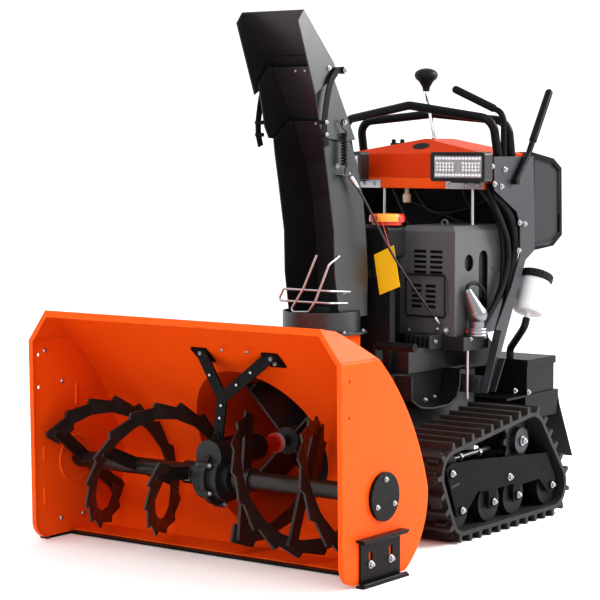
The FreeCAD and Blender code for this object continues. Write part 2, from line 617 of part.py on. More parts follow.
# ---------------------------------------------------------------------------------------------
# Impeller drum behind the housing, the impeller in it, and the chute collar on top of it.
# ---------------------------------------------------------------------------------------------
drum = rod(cell.drum_radius, (0, 60, cell.drum_z), (0, cell.drum_end_y, cell.drum_z))
drum_room = rod(cell.drum_radius - cell.sheet, (0, 60, cell.drum_z),
                (0, cell.drum_end_y - cell.sheet, cell.drum_z))
collar = rod(cell.collar_radius, (0, cell.chute_y, cell.drum_z + 60),
             (0, cell.chute_y, cell.collar_top_z))
collar_room = rod(cell.collar_radius - cell.sheet, (0, cell.chute_y, cell.drum_z + 60),
                  (0, cell.chute_y, cell.collar_top_z + 1))
shaft_hole = rod(cell.impeller_shaft_radius + cell.pin_play, (0, cell.drum_end_y - 30, cell.drum_z),
                 (0, cell.drum_end_y + 30, cell.drum_z))
drum_shell = drum.fuse(collar).cut([drum_room, collar_room, outer_form, shaft_hole])
feature("impeller_drum", max(drum_shell.Solids, key=lambda solid: solid.Volume))

impeller_end_y = cell.impeller_front_y + cell.impeller_depth
coupling_end_y = cell.impeller_front_y - 40
shaft = [rod(cell.impeller_shaft_radius, (0, cell.neck_end_y - 18, cell.drum_z),
             (0, cell.drum_end_y + 1, cell.drum_z)),
         rod(cell.coupling_radius - 3, (0, cell.neck_end_y + 6, cell.drum_z),
             (0, coupling_end_y, cell.drum_z)),
         rod(cell.coupling_radius + 4, (0, coupling_end_y - 14, cell.drum_z),
             (0, coupling_end_y, cell.drum_z))]
impeller_bore = rod(cell.impeller_shaft_radius + cell.pin_play, (0, -FAR, cell.drum_z),
                    (0, FAR, cell.drum_z))
feature("impeller_shaft", shaft[0].fuse(shaft[1:]))
blades = [rod(34, (0, cell.impeller_front_y, cell.drum_z), (0, impeller_end_y, cell.drum_z)),
          rod(120, (0, impeller_end_y - 6, cell.drum_z), (0, impeller_end_y, cell.drum_z))]
for number in range(4):
    blade = block(-3, 3, cell.impeller_front_y, impeller_end_y, 20, cell.impeller_radius - 1)
    tip = block(-3, 26, cell.impeller_front_y, impeller_end_y, cell.impeller_radius - 22,
                cell.impeller_radius - 16)
    paddle = blade.fuse(tip).rotated(Vector(0, 0, 0), Y_AXIS, 45 + 90 * number)
    blades.append(paddle.translated(Vector(0, 0, cell.drum_z)))
feature("impeller", blades[0].fuse(blades[1:]).cut(impeller_bore))

# ---------------------------------------------------------------------------------------------
# Chute: a turning base and channel, and two nested deflectors that fold forward.
# ---------------------------------------------------------------------------------------------
turn_back = (math.cos(math.radians(28)), math.sin(math.radians(28)))


def channel(back, front, half, lip=()):
    """A chute channel: two cheeks joined by a back sheet; each outline is in the side view."""
    outline = list(back) + list(lip) + list(front)
    cheeks = [side_plate(outline, sign * half, sign * (half + cell.sheet)) for sign in (1, -1)]
    sheets = []
    for (y0, z0), (y1, z1) in zip(back, back[1:]):
        length = math.dist((y0, z0), (y1, z1))
        ny, nz = -(z1 - z0) / length * cell.sheet, (y1 - y0) / length * cell.sheet
        strip = [(y0, z0), (y1, z1), (y1 + ny, z1 + nz), (y0 + ny, z0 + nz)]
        sheets.append(side_plate(strip, -half - 1, half + 1))
    return cheeks[0].fuse([cheeks[1]] + sheets).removeSplitter()


def behind(place, reach, climb):
    """A point behind a pivot, along and across the leaning back sheet."""
    return (place[0] + reach * turn_back[0] - climb * turn_back[1],
            place[1] + reach * turn_back[1] + climb * turn_back[0])


def pivot_pins(place, inner, outer):
    """A pair of pivot pins through two cheeks."""
    return [rod(cell.pivot_pin_radius, (sign * (inner - 4), *place), (sign * (outer + 4), *place))
            for sign in (1, -1)]


knee, elbow = (cell.knee_y, cell.knee_z), (cell.elbow_y, cell.elbow_z)
lower_half = cell.chute_half - cell.sheet
middle_half = cell.chute_half + cell.nest_gap
upper_half = middle_half + cell.sheet + cell.nest_gap
flange_low_z = cell.collar_top_z + cell.seat_gap
chute_foot = (cell.chute_y, cell.collar_top_z)
lower_back = (near(*chute_foot, [(90, 40), (92, 150), (85, 235), (71, 335)])
              + near(*knee, [(68, -101)]) + [behind(knee, 12, 0)])
lower_front = (near(*knee, [(-73, -42), (-68, -76), (-54, -141)])
               + near(*chute_foot, [(-54, 258), (-51, 153), (-35, 60), (-17, 40)]))
skirt_top_z = cell.collar_top_z + 56
ring = rod(cell.flange_radius, (0, cell.chute_y, flange_low_z),
           (0, cell.chute_y, flange_low_z + cell.flange_plate))
skirt = rod(cell.collar_radius, (0, cell.chute_y, flange_low_z), (0, cell.chute_y, skirt_top_z))
throat = rod(cell.collar_radius - cell.sheet, (0, cell.chute_y, flange_low_z - 1),
             (0, cell.chute_y, skirt_top_z + 40))
lower = channel(lower_back, lower_front, lower_half,
                lip=[behind(knee, 8, 6), behind(knee, -4, 11)])
pin_hole = cell.pivot_pin_radius + cell.pin_play
knee_bore = rod(pin_hole, (-FAR, *knee), (FAR, *knee))
cable_foot = (cell.knee_y + 4, cell.knee_z - 146)
bracket = block(cell.chute_half - 1, cell.chute_half + 22, cable_foot[0] - 26, cable_foot[0] + 26,
                cable_foot[1] + 14, cable_foot[1] + 18)
feature("chute_channel", ring.fuse(skirt).cut(throat).fuse([lower, bracket]).cut(knee_bore))

middle_back = [behind(knee, 24, -60), behind(knee, 10, 151)]
middle = channel(middle_back, near(*knee, [(-124, 95), (-116, 60), (-99, -10), (-82, -38),
                                           (8, -46)]),
                 middle_half, lip=[behind(elbow, 8, 6), behind(elbow, -4, 11)])
elbow_bore = rod(pin_hole, (-FAR, *elbow), (FAR, *elbow))
feature("deflector_middle", middle.fuse(pivot_pins(knee, lower_half, middle_half)).cut(elbow_bore))
upper_back = [behind(elbow, 26, -34), behind(elbow, 26, 2)] + near(*elbow, [(-101, 136.25)])
upper = channel(upper_back, near(*elbow, [(-124, 109), (-54, -63), (6, -31)]), upper_half)
feature("deflector_upper", upper.fuse(pivot_pins(elbow, middle_half, upper_half)))

# A bowed link stands off each cheek of the middle deflector on two pins.
link_x = upper_half + cell.sheet + cell.link_gap
link_line = near(*knee, [(-26, 127), (-52, 126), (-75, 103), (-88, 72), (-97, 38), (-104, 0),
                         (-103, -30), (-94, -58)])
link_edges = [[], []]
for number, (y, z) in enumerate(link_line):
    (y0, z0), (y1, z1) = link_line[max(number - 1, 0)], link_line[min(number + 1, 7)]
    reach = cell.link_width / 2 / math.dist((y0, z0), (y1, z1))
    for edge, sign in zip(link_edges, (1, -1)):
        edge.append((y - sign * reach * (z1 - z0), z + sign * reach * (y1 - y0)))
link = side_plate(link_edges[0] + link_edges[1][::-1], link_x, link_x + cell.link_plate)
for y, z in link_line[5:7]:
    link = link.fuse(rod(5, (middle_half + cell.sheet + cell.seat_gap, y, z),
                         (link_x + cell.link_plate + 4, y, z)))
link = link.fuse(rod(9, (link_x, *link_line[0]), (link_x + cell.link_plate + 4, *link_line[0])))
feature("chute_linkage", Part.makeCompound([link, mirrored(link)]))

# The guard at the foot of the chute: a flat loop round the front and a hooked bar through it.
wire_x, wire_y = cell.chute_half + cell.wire_radius + cell.seat_gap, cell.guard_y
loop_path = [(wire_x, cell.chute_y + 8, cell.guard_z + 23), (wire_x, wire_y, cell.guard_z + 30),
             (-cell.chute_half + 18, wire_y, cell.guard_z + 30),
             (-cell.chute_half + 2, wire_y, cell.guard_z), (wire_x, wire_y, cell.guard_z),
             (wire_x, cell.chute_y - 3, cell.guard_z - 5)]
hook_y = wire_y - 2
hook_path = [(wire_x, cell.chute_y - 38, cell.guard_z + 114),
             (wire_x, hook_y, cell.guard_z + 96), (wire_x - 41, hook_y, cell.guard_z + 4),
             (wire_x - 62, hook_y, cell.guard_z - 24),
             (-cell.chute_half / 2, hook_y, cell.guard_z - 27),
             (2, hook_y, cell.guard_z + 31), (44, hook_y, cell.guard_z + 118)]
guard_loop = bent_tube(loop_path, cell.wire_radius, 6)
feature("chute_guard", guard_loop.fuse(bent_tube(hook_path, cell.wire_radius, 7)))

turner_x = cell.flange_radius + 14
turner = rod(cell.turner_radius, (turner_x, cell.turner_y, cell.turner_z),
             (turner_x + 116, cell.turner_y, cell.turner_z))
turner_foot = block(turner_x, turner_x + 8, cell.turner_y - 16, cell.turner_y + 16, cell.drum_z,
                    cell.turner_z).cut(rod(cell.drum_radius + cell.seat_gap, (0, 0, cell.drum_z),
                                           (0, FAR, cell.drum_z)))
feature("chute_turner", turner.fuse(turner_foot))

cable_start = (cell.chute_half + 16, cable_foot[0] + 14, cable_foot[1] + 11.5)
cable_path = [cable_start, (cable_start[0] + 4, cable_start[1] + 46, cable_start[2] - 44),
              (150, cell.tank_front_y - 16, cell.tank_low_z - 18),
              (160, cell.cowl_y - 12, cell.cowl_z + 34)]
feature("chute_cable", bent_tube(cable_path, cell.wire_radius, 90))

# ---------------------------------------------------------------------------------------------
# Chassis: a folded sheet frame on the drive axle, with outriggers to the handle columns.
# ---------------------------------------------------------------------------------------------
CHASSIS_Y = "Sizes.drum_end_y + Sizes.seat_gap"
AXLE_HOLE = [("Sizes.drive_y", "Sizes.drive_z", "Sizes.axle_radius + Sizes.pin_play")]
SHAFT_HOLE = [("0 * Sizes.sheet", "Sizes.drum_z", "Sizes.impeller_shaft_radius + 4")]
OUTRIGGER_TOP = "Sizes.outrigger_z + Sizes.outrigger_height"
OUTRIGGER_BACK = "Sizes.outrigger_y + Sizes.outrigger_width"
COLUMN_IN = f"({COLUMN_X} - Sizes.seat_gap)"
CHASSIS_IN = "(Sizes.chassis_half - Sizes.sheet)"
padded(
    "chassis_frame",
    box_step("-Sizes.chassis_half", "Sizes.chassis_half", CHASSIS_Y, "Sizes.chassis_end_y",
             "Sizes.chassis_low_z", "Sizes.deck_z"),
    box_step("Sizes.chassis_half - 1", COLUMN_IN, "Sizes.outrigger_y", OUTRIGGER_BACK,
             "Sizes.outrigger_z", OUTRIGGER_TOP),
    box_step("-" + COLUMN_IN, "1 - Sizes.chassis_half", "Sizes.outrigger_y", OUTRIGGER_BACK,
             "Sizes.outrigger_z", OUTRIGGER_TOP),
    box_step("-" + CHASSIS_IN, CHASSIS_IN, CHASSIS_Y + " + Sizes.sheet",
             "Sizes.chassis_end_y - Sizes.sheet", "Sizes.chassis_low_z - 1",
             "Sizes.deck_z - Sizes.sheet", cuts=True),
    ("YZ_Plane", (), "-Sizes.chassis_half - 1", "2 * Sizes.chassis_half + 2", AXLE_HOLE, True),
    ("XZ_Plane", (), f"-({CHASSIS_Y}) - Sizes.sheet - 1", "Sizes.sheet + 2", SHAFT_HOLE, True))
CASE_HALF = "(Sizes.chassis_half - 30)"
padded("transmission",
       box_step("-" + CASE_HALF, CASE_HALF, CHASSIS_Y + " + 40", "Sizes.chassis_end_y - 12",
                "Sizes.chassis_low_z + 14", "Sizes.deck_z - Sizes.sheet - Sizes.seat_gap"),
       ("YZ_Plane", (), "-Sizes.chassis_half", "2 * Sizes.chassis_half", AXLE_HOLE, True))

COLUMN = (tied("dash_front_y", "dash_low_z", [(-8, 70), (-5, -17), (110, -76), (130, -112),
                                              (130, -193), (86, -275)])
          + tied("outrigger_y", "outrigger_z", [(78, 159), (8, 0), (50, 0), (100, 83)])
          + tied("dash_front_y", "dash_low_z", [(78, -365), (159, -207)])
          + tied("dash_end_y", "dash_low_z", [(10.3, -182), (9.3, -112), (-0.7, 70)]))
FLANGES = [tied("outrigger_y", "outrigger_z", outline) for outline in (
    [(8, 0), (11, 0), (81, 159), (78, 159)], [(47, 0), (50, 0), (100, 83), (97, 83)])]
for side, sign in SIDES.items():
    plate_x = COLUMN_X if sign > 0 else f"-({COLUMN_X} + Sizes.column_plate)"
    flange_x = COLUMN_X if sign > 0 else f"-({COLUMN_X} + Sizes.column_flange)"
    padded(f"column_{side}", ("YZ_Plane", COLUMN, plate_x, "Sizes.column_plate", (), False),
           *[("YZ_Plane", outline, flange_x, "Sizes.column_flange", (), False)
             for outline in FLANGES])
brace_end = column_x - cell.seat_gap - 0.3 * cell.brace_rod_radius
cross_y, cross_low, cross_high = cell.dash_end_y - 36, cell.dash_low_z - 170, cell.dash_low_z - 12
feature("cross_braces", rod(cell.brace_rod_radius, (-brace_end, cross_y, cross_low),
                            (brace_end, cross_y, cross_high)).fuse(
    rod(cell.brace_rod_radius, (brace_end, cross_y, cross_low), (-brace_end, cross_y, cross_high))))

# ---------------------------------------------------------------------------------------------
# Engine as a plain block, with its cowl, head fins, starter, muffler, skirt, tank and battery.
# ---------------------------------------------------------------------------------------------
engine_y1 = cell.engine_front_y + cell.engine_length
deck_top = cell.deck_z + cell.seat_gap
engine = [
    block(-cell.engine_half, cell.engine_half, cell.engine_front_y, engine_y1, deck_top,
          cell.engine_step_z),
    block(-cell.engine_half, cell.cowl_x - cell.seat_gap, cell.engine_front_y + 40, engine_y1,
          cell.engine_step_z - 1, cell.engine_top_z),
    block(0, cell.cowl_half_x - 12, cell.cowl_y + 12, engine_y1,
          cell.engine_step_z - 1, cell.cowl_top_z - 24),
    block(cell.engine_half - 30, cell.cowl_half_x + 32, cell.cowl_y - 6, cell.cowl_y + 116,
          cell.engine_step_z - 12, cell.cowl_z - cell.seat_gap)]
head_x, head_y = cell.engine_half - 62, cell.cowl_y - 5
engine.append(block(head_x, cell.engine_half + 12, head_y - 55, head_y,
                    cell.engine_step_z - 5, cell.engine_step_z + 20))
for number in range(int(cell.head_fins)):
    fin_x = head_x + cell.fin_pitch * number
    engine.append(block(fin_x, fin_x + 5, head_y - 71, head_y,
                        cell.engine_step_z - 5, cell.engine_step_z + 30))
feature("engine_block", engine[0].fuse(engine[1:]).removeSplitter())

cowl = block(cell.cowl_x, cell.cowl_half_x, cell.cowl_y, cell.cowl_end_y, cell.cowl_z, cell.cowl_top_z)
top_edges = [edge for edge in cowl.Edges
             if min(v.Z for v in edge.Vertexes) > cell.cowl_top_z - 1]
cowl = cowl.makeChamfer(14, top_edges)
cuts = [block(cell.cowl_x - 1, cell.cowl_half_x - cell.cowl_wall,
              cell.cowl_y + cell.cowl_wall, cell.cowl_end_y - cell.cowl_wall,
              cell.cowl_z - 1, cell.cowl_top_z - 14)]
louvre_y = (cell.cowl_y - 1, cell.cowl_y + cell.cowl_wall + 1)
for left_x, column_pitch, first_z, width in (
        (cell.cowl_x + 44, 50, cell.cowl_top_z - 70, cell.louvre_width),
        (cell.cowl_x + 36, 44, cell.cowl_z + 125, 0.8 * cell.louvre_width)):
    for column in range(2):
        for line in range(5):
            x, z = left_x + column_pitch * column, first_z - cell.louvre_pitch * line
            cuts.append(block(x, x + width, *louvre_y, z, z + cell.louvre_height))
cuts.append(block(cell.cowl_x + 25, cell.cowl_half_x - 28, cell.cowl_y - 1,
                  cell.cowl_y + cell.cowl_wall / 2, cell.cowl_z + 51, cell.cowl_z + 157))
side_x = (cell.cowl_half_x - cell.cowl_wall - 1, cell.cowl_half_x + 1)
cuts.append(rod(22, (side_x[0], cell.cowl_y + 70, cell.cowl_top_z - 97),
                (side_x[1], cell.cowl_y + 70, cell.cowl_top_z - 97)))
slot_y, slot_z = cell.cowl_y + 142, (cell.cowl_z + 60, cell.cowl_top_z - 90)
cuts += [block(*side_x, slot_y - cell.slot_radius, slot_y + cell.slot_radius, *slot_z)]
cuts += [rod(cell.slot_radius, (side_x[0], slot_y, z), (side_x[1], slot_y, z)) for z in slot_z]
cuts += [rod(3, (side_x[0], cell.cowl_y + dy, cell.cowl_top_z - 118),
             (side_x[1], cell.cowl_y + dy, cell.cowl_top_z - 118)) for dy in (188, 226)]
rib_x = cell.cowl_half_x - 26
ribs = [block(rib_x + 10 * i, rib_x + 10 * i + 4, cell.cowl_y - 4, cell.cowl_y + 1,
              cell.cowl_z + 62, cell.cowl_z + 146) for i in range(2)]
loop = Part.makeTorus(9, 2.5, Vector(cell.cowl_x + 122, cell.cowl_y + 26, cell.cowl_top_z + 7),
                      Y_AXIS)
feature("engine_cowl", cowl.cut(cuts).fuse(ribs + [loop]))

# The plug cap stands outside the cowl on a round seat.
cap_foot = (cell.cowl_half_x + 29, cell.cowl_y + 62, cell.cowl_z + 12)
seat = rod(27, (cap_foot[0], cap_foot[1], cell.cowl_z), (cap_foot[0], cap_foot[1], cap_foot[2] + 8))
cap_low = Vector(*cap_foot) + Vector(1, 0, 44)
cap_top = Vector(*cap_foot) + Vector(-13, -22, 102)
cap_up = (cap_top - cap_low).normalize()
cap = Part.makeCone(cell.boot_radius, 12, (cap_top - cap_low).Length, cap_low, cap_up).fuse(
    [Part.makeSphere(cell.boot_radius, cap_low), Part.makeSphere(12, cap_top),
     rod(20, cap_low, (cap_foot[0], cap_foot[1], cap_foot[2] + 4))])
feature("plug_cap", cap.fuse(seat).cut(block(-FAR, cell.cowl_half_x + cell.seat_gap, 0, FAR, 0, FAR)))

padded("belt_cover", box_step("-Sizes.cover_half", "Sizes.cover_half", "Sizes.cover_front_y",
                              "Sizes.engine_front_y - Sizes.seat_gap",
                              "Sizes.deck_z + Sizes.seat_gap", "Sizes.cover_top_z"))
starter_y = engine_y1 + cell.seat_gap
starter_x = -cell.engine_half / 3
starter = rod(cell.starter_radius, (starter_x, starter_y, cell.starter_z),
              (starter_x, starter_y + cell.starter_depth, cell.starter_z))
starter = starter.makeFillet(10, [e for e in starter.Edges if len(e.Vertexes) == 1
                                  and e.Vertexes[0].Y > starter_y + 1])
vents = []
for number in range(10):
    vent = block(-5, 5, starter_y + cell.starter_depth - 6, starter_y + cell.starter_depth + 9,
                 cell.starter_radius * 0.45, cell.starter_radius * 0.8)
    vent.rotate(Vector(0, 0, 0), Y_AXIS, 36 * number)
    vents.append(vent.translated(Vector(starter_x, 0, cell.starter_z)))
feature("recoil_starter", starter.cut(vents))
muffler_x = -cell.engine_half - cell.seat_gap
muffler = block(muffler_x - 72, muffler_x, cell.muffler_y, cell.muffler_y + cell.muffler_length,
                cell.engine_step_z + 50, cell.engine_step_z + 160)
muffler = muffler.makeFillet(16, [e for e in muffler.Edges if e.Vertexes[0].X < muffler_x - 1
                                  and e.Vertexes[-1].X < muffler_x - 1])
feature("muffler", muffler.fuse(rod(14, (muffler_x - 40, cell.muffler_y - 24, cell.engine_step_z + 74),
                                    (muffler_x - 40, cell.muffler_y + 10, cell.engine_step_z + 74))))

skirt_y = cell.drum_end_y + 5
skirt_outline = [(skirt_y, cell.deck_z), (skirt_y, cell.skirt_low_z + 32),
                 (skirt_y + 36, cell.skirt_low_z + 10), (skirt_y + 102, cell.skirt_low_z),
                 (cell.skirt_end_y - 50, cell.skirt_low_z + 2),
                 (cell.skirt_end_y - 16, cell.skirt_low_z + 20),
                 (cell.skirt_end_y, cell.skirt_low_z + 50), (cell.skirt_end_y, cell.deck_z)]
skirt_in_x = cell.chassis_half + cell.seat_gap
tub = side_plate(skirt_outline, skirt_in_x, cell.skirt_x)
hollow = max(tub.Faces, key=lambda face: abs(face.normalAt(0, 0).x) * face.Area)
room = hollow.makeOffset2D(-cell.sheet)
room = room.fuse(room.translated(Vector(0, 0, 2 * cell.sheet)))
room.translate(Vector(skirt_in_x + cell.sheet - room.BoundBox.XMin, 0, 0))
feature("engine_skirt", tub.cut(room.extrude(Vector(FAR, 0, 0))))

tank = block(cell.tank_right_x, cell.tank_left_x, cell.tank_front_y, cell.tank_end_y,
             cell.tank_low_z, cell.tank_top_z)
feet = [block(x, x + 36, cell.engine_front_y + 42, cell.tank_end_y - 16,
              cell.engine_top_z + cell.seat_gap, cell.tank_low_z + 4)
        for x in (20 - cell.engine_half, -16)]
feature("fuel_tank", tank.makeFillet(14, tank.Edges).fuse(feet))
cap_profile = [(0, 0), (cell.cap_radius - 8, 0), (cell.cap_radius - 8, 6), (cell.cap_radius, 8),
               (cell.cap_radius, cell.cap_height - 8), (cell.cap_radius - 4, cell.cap_height - 2),
               (0, cell.cap_height)]
feature("fuel_cap", turned(cap_profile, (cell.cap_x, cell.cap_y, cell.tank_top_z + cell.seat_gap)))
tag_y = cell.tank_front_y - 8
tag = [Vector(cell.cap_x + dx, tag_y, cell.tank_low_z + dz)
       for dx, dz in ((-3, 12), (57, 38), (77, -66), (15, -90))]
tag = Part.Face(Part.makePolygon(tag + tag[:1])).extrude(Vector(0, 1.5, 0))
string = rod(1.2, (cell.cap_x + 12, cell.cap_y - cell.cap_radius, cell.tank_top_z + 18),
             (cell.cap_x + 48, tag_y + 1, cell.tank_low_z + 30))
feature("hang_tag", tag.fuse(string))

TRAY_TOP = "Sizes.tray_z + Sizes.tray_plate"
TRAY_LEFT = f"({COLUMN_X} + 2)"
padded("battery_tray",
       box_step("-Sizes.chassis_half", TRAY_LEFT, "Sizes.chassis_end_y + Sizes.seat_gap",
                "Sizes.tray_end_y", "Sizes.tray_z", TRAY_TOP),
       box_step("-Sizes.chassis_half", TRAY_LEFT, "Sizes.tray_end_y - 1", "Sizes.tray_end_y + 4",
                "Sizes.tray_z - 52", TRAY_TOP),
       box_step(TRAY_LEFT + " - 4", TRAY_LEFT, "Sizes.tray_side_y", "Sizes.tray_end_y",
                "Sizes.tray_z - 62", TRAY_TOP))
padded("battery_box",
       box_step("Sizes.battery_x", f"{COLUMN_X} - 2", "Sizes.battery_y",
                "Sizes.battery_y + Sizes.battery_length", TRAY_TOP + " + Sizes.seat_gap",
                TRAY_TOP + " + Sizes.battery_height - 20"),
       box_step("Sizes.battery_x - 4", f"{COLUMN_X} + 2", "Sizes.battery_y - 4",
                "Sizes.battery_y + Sizes.battery_length + 4",
                TRAY_TOP + " + Sizes.battery_height - 20", TRAY_TOP + " + Sizes.battery_height"))
flap_outline = near(cell.tray_end_y, cell.tray_z, [(4.3, -2), (4.3, -40), (31, -182), (35, -182),
                                                  (8.3, -40), (8.3, -2)])
flap_half = column_x - 2
flap_face = [Vector(x, 0, cell.tray_z + dz) for x, dz in (
    (-flap_half, 0), (flap_half, 0), (flap_half + 36, -190), (-flap_half - 36, -190))]
flap_face = Part.Face(Part.makePolygon(flap_face + flap_face[:1])).extrude(Vector(0, FAR, 0))
feature("rear_flap", side_plate(flap_outline, -column_x - 40, column_x + 40).common(flap_face))
bottle_foot = Vector(column_x + 2, cell.bottle_y, cell.bottle_z)
bottle_up = Vector(0, math.sin(math.radians(cell.bottle_lean)),
                   math.cos(math.radians(cell.bottle_lean)))
lid_radius = cell.bottle_radius + 5
bottle_profile = [(0, -14), (8, -14), (8, 0), (cell.bottle_radius - 8, 0),
                  (cell.bottle_radius, 8), (cell.bottle_radius, cell.bottle_height),
                  (lid_radius, cell.bottle_height), (lid_radius, cell.bottle_height + 17),
                  (0, cell.bottle_height + 20)]
bottle = turned(bottle_profile, tuple(bottle_foot))
bottle.rotate(bottle_foot, X_AXIS, -cell.bottle_lean)
arm_x = column_x - cell.seat_gap
feature("oil_bottle", bottle.fuse(
    block(arm_x - 5, arm_x, cell.bottle_y - 71, cell.bottle_y, cell.bottle_z + 43,
          cell.bottle_z + 71)))
hose_top = bottle_foot - bottle_up * (14 + cell.seat_gap)
hose_x = column_x - 63
hose_foot_z = cell.tray_z + cell.tray_plate + cell.battery_height + cell.seat_gap
hose_path = [tuple(hose_top), tuple(hose_top - bottle_up * 25),
             (hose_x, cell.battery_y + 14, hose_foot_z + 26),
             (hose_x, cell.battery_y + 14, hose_foot_z)]
feature("oil_hose", bent_tube(hose_path, 10, 22))
# Two thin rods come down from the dash's front edge, and one from the engine's ledge.
rod_y, rod_top = cell.dash_front_y - 2, cell.dash_lip_z - cell.seat_gap
near_x, far_x = cell.cowl_half_x - 16, -cell.engine_half / 2 - 14
drop = (cell.cowl_half_x + 25, cell.cowl_y + 24)
rods = [((far_x, rod_y, cell.engine_top_z + cell.seat_gap), (far_x, rod_y, rod_top)),
        ((near_x, rod_y, cell.cowl_top_z + cell.seat_gap), (near_x, rod_y, rod_top)),
        ((*drop, cell.skirt_low_z + 16), (*drop, cell.engine_step_z - 12 - cell.seat_gap))]
feature("control_rods", Part.makeCompound([rod(4, *ends) for ends in rods]))

# ---------------------------------------------------------------------------------------------
# Operator's station: dash, console, hoops, lamps and levers.
# ---------------------------------------------------------------------------------------------
def dash_form(inset, y0, y1, drop):
    """The gabled dash as a solid between two stations, smaller all round by an inset."""
    half, shoulder_z = cell.dash_half - inset, cell.dash_side_z - inset
    rise = cell.dash_ridge_z - cell.dash_side_z
    points = [Vector(-half, y0, cell.dash_low_z - drop), Vector(half, y0, cell.dash_low_z - drop),
              Vector(half, y0, shoulder_z), Vector(0, y0, cell.dash_ridge_z - inset),
              Vector(-half, y0, shoulder_z)]
    form = Part.Face(Part.makePolygon(points + points[:1])).extrude(Vector(0, y1 - y0, 0))
    slope = near(y0, shoulder_z, [(-1, 0), (0, 0), (2 * cell.dash_slope, 2 * rise), (-1, 2 * rise)])
    return form.cut(side_plate(slope, -half - 1, half + 1))


dash_wall = 2 * cell.sheet
dash = dash_form(0, cell.dash_front_y, cell.dash_end_y, 0)
dash_cover = dash_form(-cell.seat_gap, cell.dash_front_y, cell.dash_end_y, 0)
band = block(-cell.dash_half, cell.dash_half, cell.dash_front_y - cell.dash_band,
             cell.dash_front_y + 1, cell.dash_lip_z, cell.dash_lip_z + 30)
dash = dash.fuse(band).cut(dash_form(dash_wall, cell.dash_front_y + dash_wall,
                                     cell.dash_end_y - cell.sheet, 1))
feature("dash_panel", dash.removeSplitter())

CONSOLE = (tied("dash_end_y", "dash_side_z", [(0.3, 4)])
           + tied("console_end_y", "dash_side_z", [(-50, -14), (-6, -40), (0, -224), (-48, -252)])
           + tied("dash_end_y", "dash_side_z", [(0.3, -261)]))
PANEL = (tied("dash_end_y", "dash_side_z", [(14, -11)])
         + tied("console_end_y", "dash_side_z", [(-55, -27), (-19, -48), (-14, -216), (-53, -238)])
         + tied("dash_end_y", "dash_side_z", [(14, -246)]))
CONSOLE_END = f"({COLUMN_X} - Sizes.seat_gap)"
padded("rear_console",
       ("YZ_Plane", CONSOLE, "-" + CONSOLE_END, f"2 * {CONSOLE_END}", (), False),
       ("YZ_Plane", PANEL, CONSOLE_END + " - 6", "8", (), True),
       ("YZ_Plane", PANEL, "-" + CONSOLE_END + " - 2", "8", (), True))

hoop_x = column_x - cell.seat_gap - cell.hoop_radius
for label, y, lean, crown_lean, shoulder, crown_rise in (
        ("hoop_front", cell.hoop_front_y, 42, 37, 90, 38),
        ("hoop_rear", cell.hoop_rear_y, 28, -6, 86, 21)):
    shoulder_z = cell.dash_side_z + shoulder
    path = [(hoop_x, y, cell.hoop_foot_z), (hoop_x, y - lean, shoulder_z),
            (0, y - lean - crown_lean, shoulder_z + crown_rise),
            (-hoop_x, y - lean, shoulder_z), (-hoop_x, y, cell.hoop_foot_z)]
    feature(label, bent_tube(path, cell.hoop_radius, cell.hoop_bend))
for side, sign in SIDES.items():
    y0, y1 = cell.lamp_y, cell.lamp_y + cell.lamp_depth
    top = cell.lamp_z + cell.lamp_height
    ends = (sign * cell.lamp_in_x, sign * cell.lamp_out_x)
    lamp = block(*ends, y0, y1, cell.lamp_z, top)
    lamp = lamp.makeFillet(8, [e for e in lamp.Edges if abs(e.tangentAt(0).y) > 0.9])
    rim = cell.lamp_rim
    lens_ends = (sign * (cell.lamp_in_x + rim), sign * (cell.lamp_out_x - rim))
    lamp = lamp.cut(block(*lens_ends, y0 - 1, y0 + 5, cell.lamp_z + rim, top - rim))
    fins = [block(sign * (cell.lamp_in_x + 10), sign * (cell.lamp_out_x - 10), y1 - 12, y1 + 1,
                  z, z + 4) for z in range(int(cell.lamp_z) + 10, int(top) - 12, 9)]
    bracket = block(sign * (cell.lamp_in_x + 40), sign * (cell.lamp_out_x - 35), y1 - 1,
                    cell.dash_front_y - cell.dash_band - cell.seat_gap, cell.lamp_z - 4, cell.lamp_z + 1)
    feature(f"lamp_{side}", lamp.cut(fins).fuse(bracket))
stick_foot = Vector(cell.stick_x, cell.lever_y + 5, cell.dash_ridge_z)
knob_foot = Vector(cell.stick_x - 10, cell.lever_y - 24, cell.dash_ridge_z + 126)
knob_profile = [(0, 0), (9, 0), (11, 12), (20, 26), (29, 34), (32, 44), (28, 54), (14, 61), (0, 62)]
feature("chute_joystick", turned(knob_profile, tuple(knob_foot)).fuse([
    rod(9, stick_foot - Vector(0, 0, 4), stick_foot + Vector(0, 0, 8)),
    rod(5, stick_foot, knob_foot + Vector(0, 0, 12))]).cut(dash_cover))


def lever(path, bend):
    """A bent bar whose last run carries a thicker grip with a round end."""
    corner, tip = Vector(*path[-2]), Vector(*path[-1])
    grip = rod(cell.grip_radius, corner + (tip - corner) * 0.2, tip)
    return bent_tube(path, cell.lever_radius, bend).fuse(
        [grip, Part.makeSphere(cell.grip_radius, tip)])


